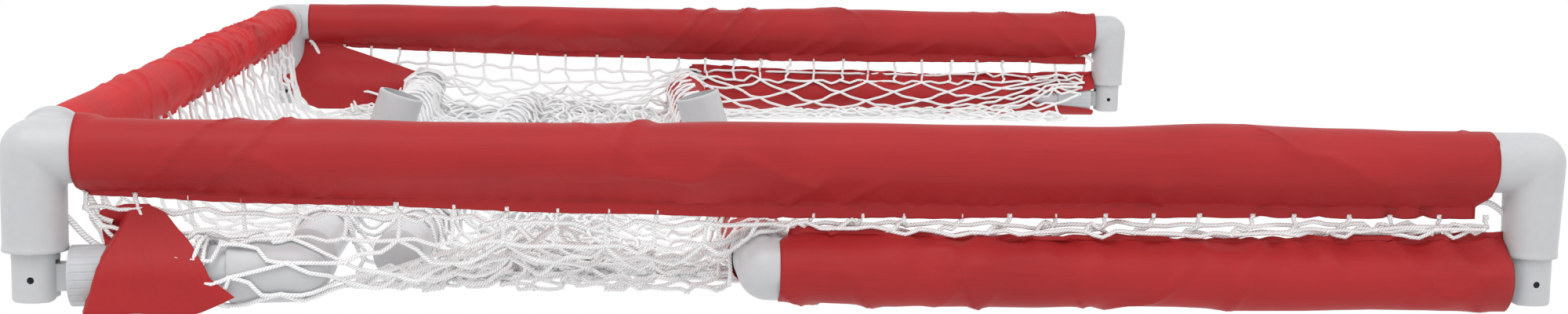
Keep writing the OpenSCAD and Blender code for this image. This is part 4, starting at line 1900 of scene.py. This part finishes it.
@dataclass
class GoalNet:
    """The knotted net: the back panel in its heap, a side panel at each post, and the laces."""

    layout: Layout
    wardrobe: Wardrobe
    seed: int = 3
    wander: float = 2.5 * MM
    steps: int = 170
    quick_steps: int = 60
    slack: float = 0.3 * MM
    fitting_r: float = 23 * MM
    rear_cover_r: float = 22.5 * MM
    base_cover_r: float = 25 * MM
    crest_up: float = 27 * MM
    crest_r: float = 5 * MM
    elbow_arm: float = 48 * MM
    stub_lean: float = 19 * MM
    stub_short: float = 6 * MM
    lace_r: float = 2.3 * MM
    lace_in: float = 4 * MM

    head_strip: float = 40 * MM
    before_shelf: float = 30 * MM
    past_shelf: float = 20 * MM
    before_base: float = 25 * MM
    side_past_shelf: float = 25 * MM
    side_before_base: float = 5 * MM
    hem_level: float = 60 * MM
    floor_level: float = 6 * MM
    side_inboard: float = 76 * MM

    HEAD_LACES = (
        ((29, -23), (34, -28), (39, -37), (44, -46), (52, -50)),
        ((18, -44), (24, -50), (33, -60), (44, -68), (60, -72)),
    )
    FOOT_LACE = ((-44, -31), (-33, -30), (-21, -37), (-13, -48), (-12, -58))

    def rods(self) -> list[Rod]:
        """Lists the tubes, tees and sleeves that the net lies on.

        Returns:
            The rods.
        """
        lay = self.layout
        out = [
            Rod(lay.shelf_corner(RIGHT), lay.shelf_corner(LEFT), lay.tube_r + self.slack),
            Rod(lay.base_corner(RIGHT), lay.base_corner(LEFT), self.rear_cover_r),
        ]
        up = Vector((0, 0, self.crest_up))
        for side in (RIGHT, LEFT):
            shelf, base, foot = lay.shelf_corner(side), lay.base_corner(side), lay.foot_pin(side)
            inward = Vector((0, -side * self.elbow_arm, 0))
            out += [
                Rod(lay.head_pin(side), shelf, self.fitting_r),
                Rod(foot, base, self.base_cover_r),
                Rod(foot + up, base + up, self.crest_r),
                Rod(shelf, shelf + inward, self.fitting_r),
                Rod(base, base + inward, self.fitting_r),
            ]
        for node, (x, z), lean in (("shelf_tee", lay.shelf_rear, 1), ("base_tee", lay.base_rear, -1)):
            low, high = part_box(node)
            mouth = Vector((x + lean * self.stub_lean, 0, high.z - self.stub_short))
            out.append(Rod(Vector((x, 0, z)), mouth, self.fitting_r))
            out.append(Rod(Vector((x, low.y, z)), Vector((x, high.y, z)), self.fitting_r))
        low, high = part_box("support_tube")
        r = lay.tube_r
        ends = Vector((low.x + r, low.y, low.z + r)), Vector((high.x - r, high.y, low.z + r))
        out.append(Rod(*ends, r))
        return out

    def corner_laces(self) -> None:
        """Ties the thick laces that hold the hems' ends to the corners and feet."""
        lay = self.layout
        mesher = CordMesher(rings_per_stretch=5, sides=10, radius=self.lace_r)
        for side in (RIGHT, LEFT):
            y = side * (lay.y_side - self.lace_in)
            routes = [(lay.x_head, route) for route in self.HEAD_LACES] + [(lay.x_foot, self.FOOT_LACE)]
            chains = [[(x0 + x * MM, y, lay.z_post + z * MM) for x, z in route] for x0, route in routes]
            obj = mesher.piece(f"{SIDE_NAMES[side]}_corner_laces", np.array(chains), np.zeros((0, 3)))
            self.wardrobe.deliver(obj, Finish.CORD, "net_cord", body="front_frame")

    def piece(self, web: CordWeb, pick: np.ndarray, name: str, nodes: tuple[str, ...] = (),
              bend: Bend | None = None) -> None:
        """Makes one piece of the settled net.

        Args:
            web: The settled net.
            pick: Which of its bars belong to the piece.
            name: Name of the piece.
            nodes: The nodes that it stands for.
            bend: Given if the piece crosses a joint; the piece then rides on no body and is not bent.
        """
        chains = web.chains[pick]
        tied = np.unique(chains[:, [0, -1]])
        obj = CordMesher().piece(name, web.p[chains], web.p[tied], len(name))
        self.wardrobe.deliver(obj, Finish.CORD, "net_cord", nodes, "" if bend else "front_frame")
        if bend:
            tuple(bend.start)
            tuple(bend.end)
            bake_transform(obj)
        log.info("built %s with %d bars", name, len(chains))

    def back_pieces(self, web: CordWeb, parts: np.ndarray) -> None:
        """Makes the back panel's three pieces.

        Args:
            web: The settled net.
            parts: The part of each bar.
        """
        shelf_x, base_x = self.layout.shelf_rear[0], self.layout.base_rear[0]
        middle = ((shelf_x + base_x) / 2, 0, 0)
        head = (self.layout.x_head + self.head_strip, 0, 0)
        self.piece(web, parts == Part.OVER_SHELF, "net_over_shelf", ("crossbar_net",),
                   Bend("top_shelf", head, (shelf_x - self.before_shelf, 0, 0)))
        self.piece(web, parts == Part.HEAP, "net_heap_cords", ("net_heap",),
                   Bend("top_shelf", middle, (shelf_x + self.past_shelf, 0, 0)))
        self.piece(web, parts == Part.OVER_BASE, "net_over_base", (),
                   Bend("base_frame", middle, (base_x - self.before_base, 0, 0)))

    def side_pieces(self, web: CordWeb, mine: np.ndarray, side: int) -> None:
        """Makes a side panel's three pieces, cut where the shelf and the base swing away.

        Args:
            web: The settled net.
            mine: Which bars belong to the panel.
            side: Which side of the goal.
        """
        lay, name = self.layout, SIDE_NAMES[side]
        y = side * lay.y_side
        at_x = web.p[web.chains].mean(1)[:, 0]
        shelf = at_x < lay.shelf_rear[0] + self.side_past_shelf
        base = at_x > lay.base_rear[0] - self.side_before_base
        self.piece(web, mine & shelf, f"{name}_side_over_shelf", (),
                   Bend("top_shelf", (0, 0, self.hem_level), (0, 0, self.floor_level)))
        self.piece(web, mine & ~shelf & ~base, f"{name}_side_heap")
        inboard = (0, y - side * self.side_inboard, 0)
        self.piece(web, mine & base, f"{name}_side_over_base", (f"{name}_side_net",),
                   Bend("base_frame", (0, y, self.hem_level), inboard))

    def build(self) -> None:
        """Knots the net, lets it settle and makes its pieces."""
        self.corner_laces()
        web = CordWeb()
        BackPanel(self.layout).build(web)
        SidePanel(self.layout, RIGHT).build(web)
        SidePanel(self.layout, LEFT).build(web)
        web.particles(self.seed, self.wander)
        log.info("net: %d knots, %d bars", len(web.places), len(web.bars))
        web.settle(self.rods(), self.steps)
        parts = np.array([bar[3] for bar in web.bars])
        self.back_pieces(web, parts)
        self.side_pieces(web, parts == Part.RIGHT_SIDE, RIGHT)
        self.side_pieces(web, parts == Part.LEFT_SIDE, LEFT)


# ---------------------------------------------------------------- studio

@dataclass(frozen=True)
class Lamp:
    """A square soft lamp that is aimed at the origin, in metres and watts."""

    name: str
    place: tuple[float, float, float]
    size: float
    power: float


@dataclass
class Studio:
    """Camera, white surroundings and two lamps; no floor, since the arms swing out below z = 0."""

    camera_at: tuple[float, float, float] = (-0.1608, -2.2077, 0.3084)
    yaw: float = math.radians(-5.367)
    pitch: float = math.radians(7.288)
    roll: float = math.radians(1.147)
    lens_mm: float = 50.44
    sensor_mm: float = 36.0
    clip_end: float = 50.0
    sky: float = 1.0
    lamps: tuple[Lamp, ...] = (
        Lamp("key", (-1.2, -2.2, 3.2), 2.4, 48.0),
        Lamp("fill", (2.4, -1.6, 2.4), 2.6, 14.0),
    )

    def camera(self) -> None:
        """Places the camera."""
        data = bpy.data.cameras.new("camera")
        data.lens = self.lens_mm
        data.sensor_width = self.sensor_mm
        data.clip_end = self.clip_end
        obj = bpy.data.objects.new("camera", data)
        bpy.context.scene.collection.objects.link(obj)
        turn = (Matrix.Rotation(self.yaw, 4, "Z") @ Matrix.Rotation(math.pi / 2 - self.pitch, 4, "X")
                @ Matrix.Rotation(self.roll, 4, "Z"))
        obj.matrix_world = Matrix.Translation(self.camera_at) @ turn
        bpy.context.scene.camera = obj

    def light(self) -> None:
        """Sets the white surroundings and the lamps."""
        world = bpy.data.worlds.new("studio")
        bpy.context.scene.world = world
        world.use_nodes = True
        back = world.node_tree.nodes["Background"]
        back.inputs["Color"].default_value = (1.0, 1.0, 1.0, 1.0)
        back.inputs["Strength"].default_value = self.sky
        for lamp in self.lamps:
            data = bpy.data.lights.new(lamp.name, "AREA")
            data.size = lamp.size
            data.energy = lamp.power
            obj = bpy.data.objects.new(lamp.name, data)
            obj.location = lamp.place
            obj.rotation_euler = (-Vector(lamp.place)).to_track_quat("-Z", "Y").to_euler()
            bpy.context.scene.collection.objects.link(obj)
        bpy.context.scene.view_settings.view_transform = "Standard"

    def build(self) -> None:
        """Makes the camera and the lights."""
        self.camera()
        self.light()


# ---------------------------------------------------------------- main


def main() -> None:
    """Builds the goal's looks in order."""
    logging.basicConfig(level=logging.INFO, format="%(message)s")
    layout = Layout.measure()
    wardrobe = Wardrobe()
    Studio().build()
    PlasticFrame(wardrobe).build()
    MouldedFittings(layout, wardrobe).build()
    Sleeves(layout, wardrobe).build()
    GoalNet(layout, wardrobe).build()


if __name__ == "__main__":
    main()
